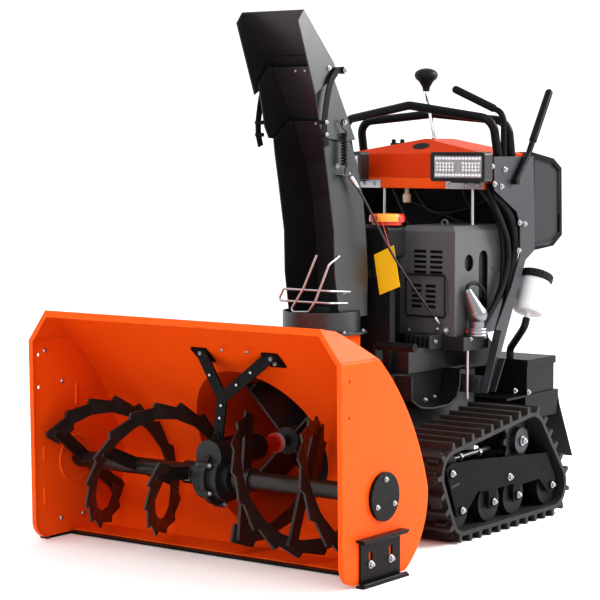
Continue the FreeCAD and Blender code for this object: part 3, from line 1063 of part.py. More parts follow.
clutch_path = [(hoop_x, cell.lever_y, cell.dash_side_z - 14),
               (hoop_x, cell.lever_y, cell.dash_side_z + 106),
               (hoop_x - 148, cell.lever_y, cell.dash_side_z + 170)]
pivot = rod(6, (hoop_x, cell.lever_y, cell.dash_side_z - 12),
            (column_x - cell.seat_gap, cell.lever_y, cell.dash_side_z - 12))
feature("clutch_lever", lever(clutch_path, 34).fuse(pivot))
lever_x = column_x + cell.column_plate + cell.seat_gap + cell.lever_radius
height_path = [(lever_x, cell.dash_front_y + 88, cell.dash_low_z + 5),
               (lever_x, cell.dash_end_y - 41, cell.dash_low_z + 78),
               (lever_x, cell.dash_end_y + 65, cell.dash_low_z + 240)]
pivot = rod(9, (lever_x - cell.lever_radius, *height_path[0][1:]),
            (lever_x + cell.lever_radius, *height_path[0][1:]))
feature("height_lever", lever(height_path, 40).fuse(pivot))

doc.recompute()
problems = []
for item in doc.Objects:
    if any(state in ("Invalid", "Error") for state in item.State):
        problems.append(f"{item.Label}: {item.State}")
for item in subparts:
    if item.Shape.isNull() or not item.Shape.isValid() or not item.Shape.Solids:
        problems.append(f"{item.Label}: bad shape")
if problems:
    raise RuntimeError("; ".join(problems))

os.makedirs("parts", exist_ok=True)
for item in subparts:
    item.Shape.exportStep(f"parts/{item.Label}.step")
    print(f"{item.Label}: {len(item.Shape.Solids)} solid, {item.Shape.Volume / 1e6:.3f} litres")
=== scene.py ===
import math

import bmesh
import bpy
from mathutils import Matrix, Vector


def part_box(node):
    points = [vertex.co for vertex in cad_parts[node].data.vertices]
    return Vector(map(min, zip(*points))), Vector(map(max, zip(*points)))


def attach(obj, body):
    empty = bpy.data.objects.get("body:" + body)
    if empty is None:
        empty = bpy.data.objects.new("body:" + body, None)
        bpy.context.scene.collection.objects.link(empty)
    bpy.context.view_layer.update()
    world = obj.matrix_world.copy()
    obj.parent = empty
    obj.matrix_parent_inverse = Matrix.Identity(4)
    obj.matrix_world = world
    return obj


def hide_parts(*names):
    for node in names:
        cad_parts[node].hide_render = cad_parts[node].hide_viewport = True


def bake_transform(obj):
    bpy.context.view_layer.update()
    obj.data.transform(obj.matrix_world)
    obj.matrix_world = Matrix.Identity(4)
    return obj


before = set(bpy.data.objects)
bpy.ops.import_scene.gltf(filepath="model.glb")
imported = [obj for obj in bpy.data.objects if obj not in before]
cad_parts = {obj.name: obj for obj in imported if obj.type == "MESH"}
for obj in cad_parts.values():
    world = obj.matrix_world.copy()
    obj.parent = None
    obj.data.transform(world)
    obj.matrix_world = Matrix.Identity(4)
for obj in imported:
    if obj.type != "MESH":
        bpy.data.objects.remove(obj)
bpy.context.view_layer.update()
scene = bpy.context.scene

# ---- View -----------------------------------------------------------------------------------
# The machine is seen from in front, over its left track, from just above the housing. The lens
# is long, so its upright edges stay upright.
swing, rise = math.radians(36.3935), math.radians(4.5422)
lens = bpy.data.cameras.new("view")
lens.lens, lens.sensor_width, lens.clip_end = 120.13, 36.0, 200.0
camera = bpy.data.objects.new("view", lens)
camera.location = (2.9388, -4.1920, 0.9807)
from_machine = Vector((math.sin(swing) * math.cos(rise), -math.cos(swing) * math.cos(rise),
                       math.sin(rise)))
camera.rotation_mode = "QUATERNION"
camera.rotation_quaternion = (-from_machine).to_track_quat("-Z", "Y")
scene.collection.objects.link(camera)
scene.camera = camera


# ---- Studio ---------------------------------------------------------------------------------
# A pale floor that runs out to a white surround, three large soft lamps, and what every finish
# and piece below is made with: a shader socket that takes sums, a finish, and stock that is
# turned, bent and joined into a mesh.
class Reading:
    """Something that varies over a surface; arithmetic on it becomes shader maths."""

    def __init__(self, finish, socket):
        self.finish, self.socket = finish, socket

    def maths(self, operation, first, second):
        return self.finish.node("ShaderNodeMath", {"operation": operation},
                                {0: first, 1: second})

    def __add__(self, other):
        return self.maths("ADD", self, other)

    def __sub__(self, other):
        return self.maths("SUBTRACT", self, other)

    def __rsub__(self, other):
        return self.maths("SUBTRACT", other, self)

    def __mul__(self, other):
        return self.maths("MULTIPLY", self, other)

    def __gt__(self, other):
        return self.maths("GREATER_THAN", self, other)

    def __lt__(self, other):
        return self.maths("LESS_THAN", self, other)

    __radd__, __rmul__ = __add__, __mul__


class Finish:
    """A real finish as a material: plain numbers on the shader, nodes for what varies."""

    def __init__(self, name, sockets=()):
        self.material = bpy.data.materials.new(name)
        self.material.use_nodes = True
        self.tree = self.material.node_tree
        self.shader = self.tree.nodes["Principled BSDF"]
        self.place = self.node("ShaderNodeTexCoord", out="Object")
        self.feed(self.shader, sockets)

    def feed(self, node, sockets):
        for name, value in dict(sockets).items():
            socket = node.inputs[name]
            if isinstance(value, Reading):
                self.tree.links.new(value.socket, socket)
            elif socket.type == "RGBA":
                socket.default_value = (*value[:3], 1.0)
            else:
                socket.default_value = value

    def node(self, kind, settings=(), sockets=(), out=0):
        node = self.tree.nodes.new(kind)
        for name, value in dict(settings).items():
            setattr(node, name, value)
        self.feed(node, sockets)
        return Reading(self, node.outputs[out])

    def noise(self, scale, detail=2.0, stretch=(1.0, 1.0, 1.0)):
        at = self.node("ShaderNodeVectorMath", {"operation": "MULTIPLY"},
                       {0: self.place, 1: stretch})
        return self.node("ShaderNodeTexNoise", (), {"Vector": at, "Scale": scale,
                                                    "Detail": detail})

    def ramp(self, value, low, high):
        return self.node("ShaderNodeMapRange", (), {"Value": value, "From Min": low,
                                                    "From Max": high})

    def mix(self, share, first, second):
        return self.node("ShaderNodeMix", {"data_type": "RGBA"}, {0: share, 6: first, 7: second},
                         out=2)

    def along(self, letter):
        return self.node("ShaderNodeSeparateXYZ", (), {0: self.place}, out=letter)

    def corners(self, radius):
        """One where the surface turns within a radius, nothing where it is flat."""
        soft = self.node("ShaderNodeBevel", {"samples": 4}, {"Radius": radius})
        true = self.node("ShaderNodeNewGeometry", out="Normal")
        facing = self.node("ShaderNodeVectorMath", {"operation": "DOT_PRODUCT"},
                           {0: soft, 1: true}, out="Value")
        return self.ramp(facing, 0.995, 0.9)

    def relief(self, height, depth, radius):
        """A skin of fine relief over corners that are eased to a radius."""
        soft = self.node("ShaderNodeBevel", {"samples": 4}, {"Radius": radius})
        self.feed(self.shader, {"Normal": self.node(
            "ShaderNodeBump", (), {"Height": height, "Distance": depth, "Normal": soft})})


def coated(name, colour, roughness, drift=0.08, grain=700.0, depth=0.00003, ease=0.0012,
           edge_wear_and_highlight=None, wear_and_highlight_share=0.5, sockets=()):
    """A sprayed, cast or moulded finish with a drifting shade, a fine skin and corners painted
    lighter: part wear, part painted highlight.
    """
    finish = Finish(name, sockets)
    shade = finish.mix(finish.noise(7.0, 3.0), tuple(c * (1 - drift) for c in colour),
                       tuple(c * (1 + drift) for c in colour))
    # Eased corners are painted a lighter colour in patches: part edge wear, part a painted
    # highlight where light would catch them.
    if edge_wear_and_highlight:
        wear_and_highlight = finish.corners(ease) * finish.ramp(finish.noise(45.0), 0.35, 0.65) * wear_and_highlight_share
        shade = finish.mix(wear_and_highlight, shade, edge_wear_and_highlight)
    finish.feed(finish.shader, {
        "Base Color": shade, "Roughness": finish.noise(30.0, 3.0) * 0.16 + (roughness - 0.08)})
    finish.relief(finish.noise(grain), depth, ease)
    return finish


class Stock:
    """Raw shapes that are gathered, eased and made into one piece on a body."""

    def __init__(self):
        self.work = bmesh.new()

    def skin(self, rings, closed=False, capped=True):
        """Walls between rings of points, with the first and last ring capped."""
        made = [[self.work.verts.new(point) for point in ring] for ring in rings]
        count = len(made[0])
        pairs = list(zip(made, made[1:])) + ([(made[-1], made[0])] if closed else [])
        for ring, following in pairs:
            for k in range(count):
                nxt = (k + 1) % count
                self.work.faces.new((ring[k], ring[nxt], following[nxt], following[k]))
        if capped and not closed:
            self.work.faces.new(made[0][::-1])
            self.work.faces.new(made[-1])

    def board(self, outline, depth):
        """A flat outline of points, pushed along a vector."""
        depth = Vector(depth)
        self.skin([[Vector(p) for p in outline], [Vector(p) + depth for p in outline]])

    def slab(self, low, high):
        (x0, y0, z0), (x1, y1, z1) = low, high
        self.board([(x0, y0, z0), (x1, y0, z0), (x1, y1, z0), (x0, y1, z0)], (0, 0, z1 - z0))

    def turned(self, profile, foot, axis, sides=24, start=0.0):
        """A turned piece: radii and heights over a foot, along an axis."""
        frame_of = Vector(axis).to_track_quat("Z", "Y")
        rings = []
        for radius, height in profile:
            rings.append([Vector(foot) + frame_of @ Vector((
                radius * math.cos(start + math.tau * k / sides),
                radius * math.sin(start + math.tau * k / sides), height)) for k in range(sides)])
        self.skin(rings)

    def wire(self, points, radius, sides=10, closed=False):
        """Round bar that follows points, without twist."""
        points = [Vector(p) for p in points]
        count = len(points)
        normal, rings = None, []
        for k, point in enumerate(points):
            before = points[k - 1] if k or closed else point
            after = points[(k + 1) % count] if k < count - 1 or closed else point
            along = (after - before).normalized()
            if normal is None:
                normal = along.orthogonal().normalized()
            normal = (normal - along * normal.dot(along)).normalized()
            side = along.cross(normal)
            rings.append([point + radius * (math.cos(math.tau * j / sides) * normal
                                            + math.sin(math.tau * j / sides) * side)
                          for j in range(sides)])
        self.skin(rings, closed)

    def bend(self, points, steps=5):
        """Points along a smooth curve through the given ones."""
        ends = [Vector(p) for p in (points[0], *points, points[-1])]
        line = []
        for before, start, stop, after in zip(ends, ends[1:], ends[2:], ends[3:]):
            for t in (k / steps for k in range(steps)):
                line.append(0.5 * (2 * start + (stop - before) * t
                                   + (2 * before - 5 * start + 4 * stop - after) * t * t
                                   + (3 * start - before - 3 * stop + after) * t ** 3))
        return line + [ends[-1]]

    def bolt(self, foot, axis, size):
        """A hexagon head on its washer, with a short end of thread."""
        self.turned([(1.15 * size, 0), (1.15 * size, 0.22 * size)], foot, axis, 16)
        self.turned([(0.84 * size, 0.2 * size), (0.84 * size, 0.8 * size),
                     (0.66 * size, 0.95 * size)], foot, axis, 6)
        self.turned([(0.4 * size, 0.9 * size), (0.4 * size, 1.25 * size)], foot, axis, 10)

    def eased(self, width, segments=2):
        sharp = [edge for edge in self.work.edges
                 if len(edge.link_faces) == 2 and edge.calc_face_angle(0) > 0.6]
        bmesh.ops.bevel(self.work, geom=sharp, offset=width, segments=segments, profile=0.6,
                        affect="EDGES", clamp_overlap=True)
        return self

    def piece(self, name, finish, slot, body, smooth=38.0):
        bmesh.ops.recalc_face_normals(self.work, faces=self.work.faces)
        mesh = bpy.data.meshes.new(name)
        self.work.to_mesh(mesh)
        self.work.free()
        mesh.shade_smooth()
        mesh.set_sharp_from_angle(angle=math.radians(smooth))
        mesh.materials.append(finish.material)
        made = bpy.data.objects.new(name, mesh)
        scene.collection.objects.link(made)
        if body:
            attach(made, body)
        return made


def dress(finish, *nodes):
    """Gives solids that keep their shape their finish."""
    for node in nodes:
        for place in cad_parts[node].material_slots:
            place.material = finish.material


floor_reach, floor_depth = 40.0, 0.02
floor_corners = [(-1, -1), (1, -1), (1, 1), (-1, 1)]
floor_stock = Stock()
floor_stock.board([(floor_reach * a, floor_reach * b, -floor_depth) for a, b in floor_corners],
                  (0, 0, floor_depth))
floor_finish = coated("studio_floor", (0.97, 0.97, 0.97), 0.8, drift=0.005,
                      sockets={"Specular IOR Level": 0.0})
floor = floor_stock.piece("studio_floor", floor_finish, "orange_paint", None)

surround = bpy.data.worlds.new("surround")
surround.use_nodes = True
surround.node_tree.nodes["Background"].inputs["Color"].default_value = (1, 1, 1, 1)
surround.node_tree.nodes["Background"].inputs["Strength"].default_value = 1.04
scene.world = surround
scene.view_settings.view_transform = "Standard"
scene.view_settings.look = "Medium High Contrast"
middle_of_machine = Vector((0, 0, 0.6))
for name, place, size, watts in (("lamp_edge", (3.7, 3.2, 3.5), 2.8, 190.0),
                                 ("lamp_chute", (1.45, 1.55, 1.85), 1.1, 30.0),
                                 ("lamp_front", (1.2, -5.0, 3.6), 2.4, 80.0)):
    softbox = bpy.data.lights.new(name, "AREA")
    softbox.energy, softbox.size = watts, size
    stand = bpy.data.objects.new(name, softbox)
    stand.location = place
    stand.rotation_mode = "QUATERNION"
    stand.rotation_quaternion = (middle_of_machine - Vector(place)).to_track_quat("-Z", "Y")
    scene.collection.objects.link(stand)

# ---- Chute cable ----------------------------------------------------------------------------
# A black sheathed cable from the bracket on the chute to the engine's side. It bends between the
# chute, which turns, and the chassis; each end has a pressed steel ferrule.
cable_finish = coated("black_sheath", (0.018, 0.018, 0.018), 0.45, grain=1500.0)
cable_radius = 0.003
cable_route = [(0.094, -0.121, 0.8915), (0.098, -0.075, 0.8475), (0.150, 0.007, 0.662),
               (0.160, 0.185, 0.509)]
line = bpy.data.curves.new("cable_line", "CURVE")
line.dimensions, line.resolution_u = "3D", 14
line.bevel_depth, line.bevel_resolution = cable_radius, 3
spline = line.splines.new("NURBS")
spline.points.add(len(cable_route) - 1)
for point, place in zip(spline.points, cable_route):
    point.co = (*place, 1.0)
spline.order_u, spline.use_endpoint_u = 3, True
drawn = bpy.data.objects.new("cable_line", line)
scene.collection.objects.link(drawn)
bpy.context.view_layer.update()
cable_mesh = bpy.data.meshes.new_from_object(drawn.evaluated_get(
    bpy.context.evaluated_depsgraph_get()))
bpy.data.objects.remove(drawn)
cable_mesh.shade_smooth()
cable_mesh.materials.clear()
cable_mesh.materials.append(cable_finish.material)
cable = bpy.data.objects.new("chute_cable_sheath", cable_mesh)
scene.collection.objects.link(cable)
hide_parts("chute_cable")
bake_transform(cable)

zinc_finish = coated("bright_zinc", (0.46, 0.47, 0.49), 0.34, drift=0.12, grain=500.0,
                     sockets={"Metallic": 0.9})
down_cable = (Vector(cable_route[1]) - Vector(cable_route[0])).normalized()
ferrule = Stock()
ferrule.turned([(0.0042, 0), (0.0058, 0.002), (0.0058, 0.034), (0.0042, 0.044)],
               Vector(cable_route[0]) - 0.004 * down_cable, down_cable, 14)
ferrule.bolt((0.092, -0.125, 0.898), (0, 0, 1), 0.005)
ferrule.piece("cable_ferrule", zinc_finish, "zinc", "chute")
cable_end = Stock()
up_cable = (Vector(cable_route[2]) - Vector(cable_route[3])).normalized()
cable_end.turned([(0.0035, 0), (0.0055, 0.002), (0.0055, 0.022), (0.0035, 0.026)],
                 Vector(cable_route[3]), up_cable, 14)
cable_end.piece("cable_end", zinc_finish, "zinc", "chassis")

# ---- Auger housing --------------------------------------------------------------------------
# Folded and welded sheet steel in bright orange powder coat: a wrapper, two side plates and the
# impeller drum behind. Ribs are pressed into the side plates round the auger bearings.
# Its eased corners are painted paler orange in patches, a painted highlight along the edges.
orange_coat = coated("orange_powder_coat", (0.80, 0.092, 0.006), 0.40, drift=0.05, grain=420.0,
                     depth=0.00004, ease=0.004, edge_wear_and_highlight=(0.95, 0.26, 0.07), wear_and_highlight_share=0.55,
                     sockets={"Specular IOR Level": 0.12})
dress(orange_coat, "housing_wrapper", "housing_side_left", "housing_side_right",
      "impeller_drum")
side_low, side_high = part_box("housing_side_left")
bearing_low, bearing_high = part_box("bearing_covers")
auger_y, auger_z = (bearing_low.y + bearing_high.y) / 2, (bearing_low.z + bearing_high.z) / 2
plate_x = side_high.x - 0.003
front_y = side_low.y
rib_radius, ring_radius = 0.0035, 0.057
pressed = Stock()
for side in (-1, 1):
    x = side * plate_x
    ring = [(x, auger_y + ring_radius * math.cos(a), auger_z + ring_radius * math.sin(a))
            for a in (math.tau * k / 40 for k in range(40))]
    pressed.wire(ring, rib_radius, 8, closed=True)
    for y, low, high in ((0.047, 0.195, 0.232), (0.047, 0.088, 0.131), (0.164, 0.325, 0.378)):
        pressed.wire([(x, front_y + y, low), (x, front_y + y, low + 0.001),
                      (x, front_y + y, high - 0.001), (x, front_y + y, high)], rib_radius, 8)
pressed.piece("pressed_ribs", orange_coat, "orange_paint", "chassis")

housing_bolts = Stock()
for side in (-1, 1):
    for y, z in ((0.053, 0.469), (0.115, 0.388), (0.107, 0.046), (0.187, 0.046)):
        housing_bolts.turned([(0.0065, 0), (0.0055, 0.002), (0.0025, 0.0035)],
                             (side * plate_x, front_y + y, z), (-side, 0, 0), 12)
roof_in = Vector((0, -0.66, -0.75))
for x in (0.035, 0.108):
    housing_bolts.turned([(0.0055, 0), (0.005, 0.002), (0.002, 0.0035)],
                         (x, front_y + 0.1275, 0.4945), roof_in, 12)
housing_bolts.piece("housing_bolts", zinc_finish, "zinc", "chassis")

# ---- Skid shoes, scraper and bearing covers -------------------------------------------------
# Black coated steel that wears on the ground. Each shoe hangs on two bolts in slots, and each
# bearing cover on three bolts round its edge.
satin_black = coated("satin_black_coat", (0.009, 0.009, 0.010), 0.30, grain=600.0,
                     edge_wear_and_highlight=(0.05, 0.05, 0.052), wear_and_highlight_share=0.8, sockets={"Specular IOR Level": 0.1})
dress(satin_black, "skid_shoe_left", "skid_shoe_right", "scraper_bar", "bearing_covers")
shoe_low, shoe_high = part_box("skid_shoe_left")
shoe_lips = Stock()
for side in (-1, 1):
    for z in (shoe_low.z + 0.0052, shoe_high.z - 0.0052):
        x = side * (shoe_high.x - 0.0055)
        start, end = shoe_low.y + 0.004, shoe_high.y - 0.004
        shoe_lips.wire([(x, start, z), (x, start + 0.002, z), (x, end - 0.002, z), (x, end, z)],
                       0.005, 14)
shoe_lips.piece("skid_shoe_lips", satin_black, "black_paint", "chassis")
cover_circle = 0.039
shoe_bolts = Stock()
for side in (-1, 1):
    for y in (shoe_low.y + 0.05, shoe_high.y - 0.05):
        shoe_bolts.bolt((side * (side_high.x + 0.005), y, 0.046), (side, 0, 0), 0.0082)
    for k in range(3):
        angle = math.radians(90 + 120 * k)
        shoe_bolts.bolt((side * bearing_high.x, auger_y + cover_circle * math.cos(angle),
                         auger_z + cover_circle * math.sin(angle)), (side, 0, 0), 0.0055)
shoe_bolts.piece("shoe_and_cover_bolts", zinc_finish, "zinc", "chassis")

# ---- Auger ----------------------------------------------------------------------------------
# Saw-toothed ribbons on a tube, in black coat painted lighter at the teeth, part wear and part
# painted highlight, driven through a cast gearbox that hangs from the bolted brace. Shear bolts
# pin each half to its shaft.
auger_finish = coated("auger_black_coat", (0.017, 0.012, 0.011), 0.32, grain=500.0,
                      edge_wear_and_highlight=(0.10, 0.09, 0.085), wear_and_highlight_share=0.9)
dress(auger_finish, "auger_left", "auger_right")
cast_black = coated("cast_black", (0.012, 0.012, 0.013), 0.45, grain=260.0, depth=0.0002,
                    edge_wear_and_highlight=(0.06, 0.06, 0.06), wear_and_highlight_share=0.6)
dress(cast_black, "auger_gearbox")
dress(satin_black, "auger_brace")
shear_bolts = Stock()
for side in (-1, 1):
    for angle in (math.radians(200), math.radians(20)):
        radial = Vector((0, math.cos(angle), math.sin(angle)))
        shear_bolts.bolt(Vector((side * 0.079, auger_y, auger_z)) + 0.027 * radial, radial,
                         0.0065)
shear_bolts.piece("shear_bolts", zinc_finish, "zinc", "auger")
flange_circle, flange_bolt = 0.066, 0.0058
gearbox_bolts = Stock()
for side in (-1, 1):
    for k in range(6):
        angle = math.radians(30 + 60 * k)
        gearbox_bolts.bolt((side * 0.014, auger_y + flange_circle * math.cos(angle),
                            auger_z + flange_circle * math.sin(angle)), (side, 0, 0), flange_bolt)
foot_slope = math.radians(40)
foot_down = Vector((0, -math.sin(foot_slope), -math.cos(foot_slope)))
foot_along = Vector((0, 0.766, -0.643))
brace_y = auger_y - 0.010
for x in (-0.052, 0.158):
    for reach in (0.006, 0.026):
        gearbox_bolts.bolt(Vector((x, brace_y, 0.486)) + reach * foot_along
                           + 0.003 * foot_down, foot_down, flange_bolt)
for x, z in ((0.014, 0.360), (0.010, 0.330), (0.060, 0.412), (0.102, 0.444), (-0.020, 0.430)):
    gearbox_bolts.turned([(0.004, 0), (0.004, 0.0015), (0.002, 0.003)],
                         (x, brace_y - 0.003, z), (0, -1, 0), 10)
gearbox_bolts.piece("gearbox_and_brace_bolts", zinc_finish, "zinc", "chassis")
shackle = Stock()
shackle.wire([(0.001 + 0.008 * math.cos(a), brace_y - 0.005, 0.283 + 0.011 * math.sin(a))
              for a in (math.tau * k / 20 for k in range(20))], 0.0022, 8, closed=True)
shackle.piece("brace_eye", satin_black, "black_paint", "chassis")

# ---- Impeller -------------------------------------------------------------------------------
# Four dark coated paddles in the drum. The shaft's coupling is painted red, with a bright ring
# where it meets the paddles' hub.
impeller_coat = coated("impeller_grey_coat", (0.050, 0.050, 0.056), 0.32, grain=500.0,
                       edge_wear_and_highlight=(0.20, 0.20, 0.21), wear_and_highlight_share=0.8)
dress(impeller_coat, "impeller")
coupling = coated("coupling_red", (0.55, 0.03, 0.02), 0.35)
along_shaft = coupling.along("Y")
ring_start, ring_end = -0.313, -0.299
bright = (along_shaft > ring_start) * (along_shaft < ring_end)
past = along_shaft > ring_end
shade = coupling.mix(coupling.noise(9.0), (0.5, 0.02, 0.015), (0.62, 0.035, 0.02))
shade = coupling.mix(bright, shade, (0.9, 0.9, 0.9))
shade = coupling.mix(past, shade, (0.03, 0.03, 0.03))
coupling.feed(coupling.shader, {"Base Color": shade, "Metallic": bright * 0.3})
dress(coupling, "impeller_shaft")

# ---- Chute ----------------------------------------------------------------------------------
# Folded sheet in charcoal coat: a turning channel and two nested deflectors on bolts, a bowed
# link each side, and a coil spring that holds the deflectors against their cable.
# Its eased corners are painted a lighter grey in patches, a painted highlight along the edges.
charcoal = coated("charcoal_coat", (0.0115, 0.0140, 0.0175), 0.36, drift=0.1, grain=500.0,
                  edge_wear_and_highlight=(0.065, 0.07, 0.078), wear_and_highlight_share=0.7, sockets={"Specular IOR Level": 0.72})
dress(charcoal, "chute_channel", "deflector_middle", "deflector_upper")
dress(satin_black, "chute_linkage", "chute_turner")
dress(zinc_finish, "chute_guard")
chute_half = 0.078
turns, steps = 11, 12
coil_foot, coil_radius, coil_height = Vector((0.0935, -0.148, 0.920)), 0.0072, 0.080
spring = Stock()
spring.wire([coil_foot + Vector((coil_radius * math.cos(math.tau * k / steps),
                                 coil_radius * math.sin(math.tau * k / steps),
                                 coil_height * k / (turns * steps)))
             for k in range(turns * steps + 1)], 0.0021, 7)
spring.wire([(0.0955, -0.148, 0.898), (0.0955, -0.148, 0.912), (0.1015, -0.148, 0.920)],
            0.0016, 7)
spring.wire([(0.1015, -0.148, 1.000), (0.0955, -0.150, 1.008), (0.0955, -0.160, 1.012),
             (0.0955, -0.166, 1.022), (0.0955, -0.163, 1.032), (0.0955, -0.153, 1.034),
             (0.0955, -0.148, 1.028)], 0.0016, 7)
spring_made = spring.piece("deflector_spring", satin_black, "black_paint", None)
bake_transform(spring_made)
chute_bolts = Stock()
chute_bolts.bolt((chute_half, -0.157, 0.919), (1, 0, 0), 0.0055)
chute_bolts.bolt((-chute_half, -0.157, 0.919), (-1, 0, 0), 0.0055)
for side in (-1, 1):
    chute_bolts.bolt((side * chute_half, -0.128, 0.605), (side, 0, 0), 0.005)
collar_y, collar_z, collar_circle = -0.114, 0.5053, 0.107
for k in range(8):
    angle = math.radians(22.5 + 45 * k)
    chute_bolts.bolt((collar_circle * math.cos(angle), collar_y + collar_circle * math.sin(angle),
                      collar_z), (0, 0, 1), 0.0048)
rivet = [(0.0042, 0), (0.0036, 0.0012), (0.0015, 0.002)]
chute_bolts.turned(rivet, (-0.008, -0.1272, 1.0232), (0, -0.880, -0.474), 12)
chute_bolts.piece("chute_bolts", zinc_finish, "zinc", "chute")
knee_bolts = Stock()
for x in (-0.020, 0.009):
    knee_bolts.turned(rivet, (x, -0.1973, 1.1522), (0, -0.850, -0.527), 12)
for side in (-1, 1):
    knee_bolts.bolt((side * 0.0872, -0.139, 1.026), (side, 0, 0), 0.006)
    knee_bolts.bolt((side * 0.084, -0.207, 1.093), (side, 0, 0), 0.0045)
    for y, z, size in ((-0.165, 1.153, 0.007), (-0.243, 1.026, 0.0045), (-0.242, 0.996, 0.0045)):
        knee_bolts.bolt((side * 0.107, y, z), (side, 0, 0), size)
knee_bolts.piece("knee_bolts", zinc_finish, "zinc", "deflector_one")
elbow_bolts = Stock()
for side in (-1, 1):
    elbow_bolts.bolt((side * 0.0945, -0.215, 1.157), (side, 0, 0), 0.0055)
elbow_bolts.piece("elbow_bolts", zinc_finish, "zinc", "deflector_two")
fold = Stock()
fold.turned([(0.0007, 0), (0.0016, 0.0012), (0.0016, 0.1648), (0.0007, 0.1660)],
            (-0.083, -0.2165, 1.1905), (1, 0, 0), 8)
fold.piece("deflector_fold_line", satin_black, "black_paint", "deflector_two")

# ---- Chassis --------------------------------------------------------------------------------
# A folded sheet frame in grey coat, the sealed drive case, and the axle with its two toothed
# sprockets. It carries everything above the tracks.
grey_coat = coated("grey_powder_coat", (0.022, 0.024, 0.028), 0.40, drift=0.08, grain=600.0,
                   edge_wear_and_highlight=(0.09, 0.09, 0.10), wear_and_highlight_share=0.6)
dress(grey_coat, "chassis_frame", "column_left", "column_right")
frame_coat = coated("track_frame_coat", (0.011, 0.0125, 0.012), 0.5, drift=0.12, grain=400.0,
                    edge_wear_and_highlight=(0.05, 0.052, 0.05), wear_and_highlight_share=0.7, sockets={"Specular IOR Level": 0.04})
dress(frame_coat, "track_frame_left", "track_frame_right")
dress(cast_black, "transmission")
steel_finish = coated("dull_steel", (0.085, 0.085, 0.09), 0.45, drift=0.15, grain=300.0,
                      sockets={"Metallic": 0.85})
dress(steel_finish, "drive_axle")
dress(satin_black, "cross_tube", "cross_braces")

# ---- Tracks ---------------------------------------------------------------------------------
# One moulded rubber loop a side, brown-black, with its eased corners and groove edges painted
# lighter, part wear and part painted highlight, with a cross lug at each pitch and a raised pad
# near each end of it. Nylon wheels run on bolted pins.
rubber = coated("track_rubber", (0.0105, 0.0085, 0.008), 0.6, drift=0.2, grain=240.0,
                depth=0.00025, ease=0.002, edge_wear_and_highlight=(0.05, 0.042, 0.038), wear_and_highlight_share=0.9)
dress(rubber, "track_left", "track_right", "rear_flap")
nylon = coated("wheel_nylon", (0.010, 0.010, 0.010), 0.5, grain=380.0, depth=0.00008,
               edge_wear_and_highlight=(0.05, 0.05, 0.05), wear_and_highlight_share=0.5, sockets={"Specular IOR Level": 0.2})
dress(nylon, "track_wheels_left", "track_wheels_right")
lug_crest = 0.009
for name in ("track_left", "track_right"):
    low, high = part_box(name)
    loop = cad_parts[name].data
    crests = {}
    for face in loop.polygons:
        spots = [loop.vertices[v].co for v in face.vertices]
        wide = max(s.x for s in spots) - min(s.x for s in spots)
        if abs(face.normal.x) < 0.01 and wide > 0.99 * (high.x - low.x) and abs(
                face.area - 0.5 * wide * lug_crest) < 2e-5:
            crests.setdefault(tuple(round(c, 3) for c in face.normal), []).append(face)
    pads = Stock()
    for faces in crests.values():
        centre = sum((face.center for face in faces), Vector()) / len(faces)
        centre.x = (low.x + high.x) / 2
        out = faces[0].normal.copy()
        run = out.cross(Vector((1, 0, 0))).normalized()
        for x in (low.x + 0.028, high.x - 0.028):
            rings = []
            for half, width, height in ((0.0165, 0.016, -0.020), (0.0145, 0.014, -0.006)):
                rings.append([Vector((x, centre.y, centre.z)) + out * height + run * a * half
                              + Vector((b * width, 0, 0))
                              for a, b in ((-1, -1), (1, -1), (1, 1), (-1, 1))])
            pads.skin(rings)
    pads.piece(name + "_pads", rubber, "track_rubber", "undercarriage")

wheel_bolts = Stock()
for side in (-1, 1):
    for x, y, z, size in ((0.3845, -0.103, 0.176, 0.0075), (0.3845, -0.056, 0.079, 0.0075),
                          (0.3845, 0.094, 0.079, 0.0075), (0.3845, 0.215, 0.079, 0.0075),
                          (0.3845, 0.390, 0.081, 0.0075), (0.380, 0.177, 0.130, 0.0085),
                          (0.362, 0.271, 0.210, 0.011)):
        wheel_bolts.bolt((side * x, y, z), (side, 0, 0), size)
wheel_bolts.piece("wheel_bolts", zinc_finish, "zinc", "undercarriage")
slots = Stock()
slot_half, slot_y, slot_z = 0.019, -0.0830, 0.1425
for side in (-1, 1):
    x = side * 0.3801
    slots.board([(x, slot_y + dy, slot_z + dz) for dy, dz in (
        (-slot_half, -0.005), (slot_half, 0.001), (slot_half, 0.007), (-slot_half, 0.001))],
        (side * 0.0004, 0, 0))
slots.piece("frame_slots", rubber, "track_rubber", "undercarriage")
tensioner = Stock()
rod_x, rod_slope = 0.30, (0, 1, 0.04)
for side in (-1, 1):
    tensioner.turned([(0.006, 0), (0.006, 0.17)], (side * rod_x, 0.035, 0.187), rod_slope, 12)
    for y in (0.060, 0.150):
        tensioner.turned([(0.011, 0), (0.011, 0.009)], (side * rod_x, y, 0.188), rod_slope, 6)
tensioner.piece("track_tensioners", zinc_finish, "zinc", "undercarriage")

# ---- Columns --------------------------------------------------------------------------------
# Two plates carry the dash, console and hoops. They are bolted through at the top and again
# where the console and the lower bracket meet them.
column_bolts = Stock()
for side in (-1, 1):
    for y, z in ((0.290, 0.915), (0.356, 0.906), (0.303, 0.869), (0.339, 0.862),
                 (0.434, 0.764), (0.461, 0.760), (0.430, 0.690)):
        column_bolts.bolt((side * 0.2525, y, z), (side, 0, 0), 0.0068)
column_bolts.piece("column_bolts", zinc_finish, "zinc", "chassis")

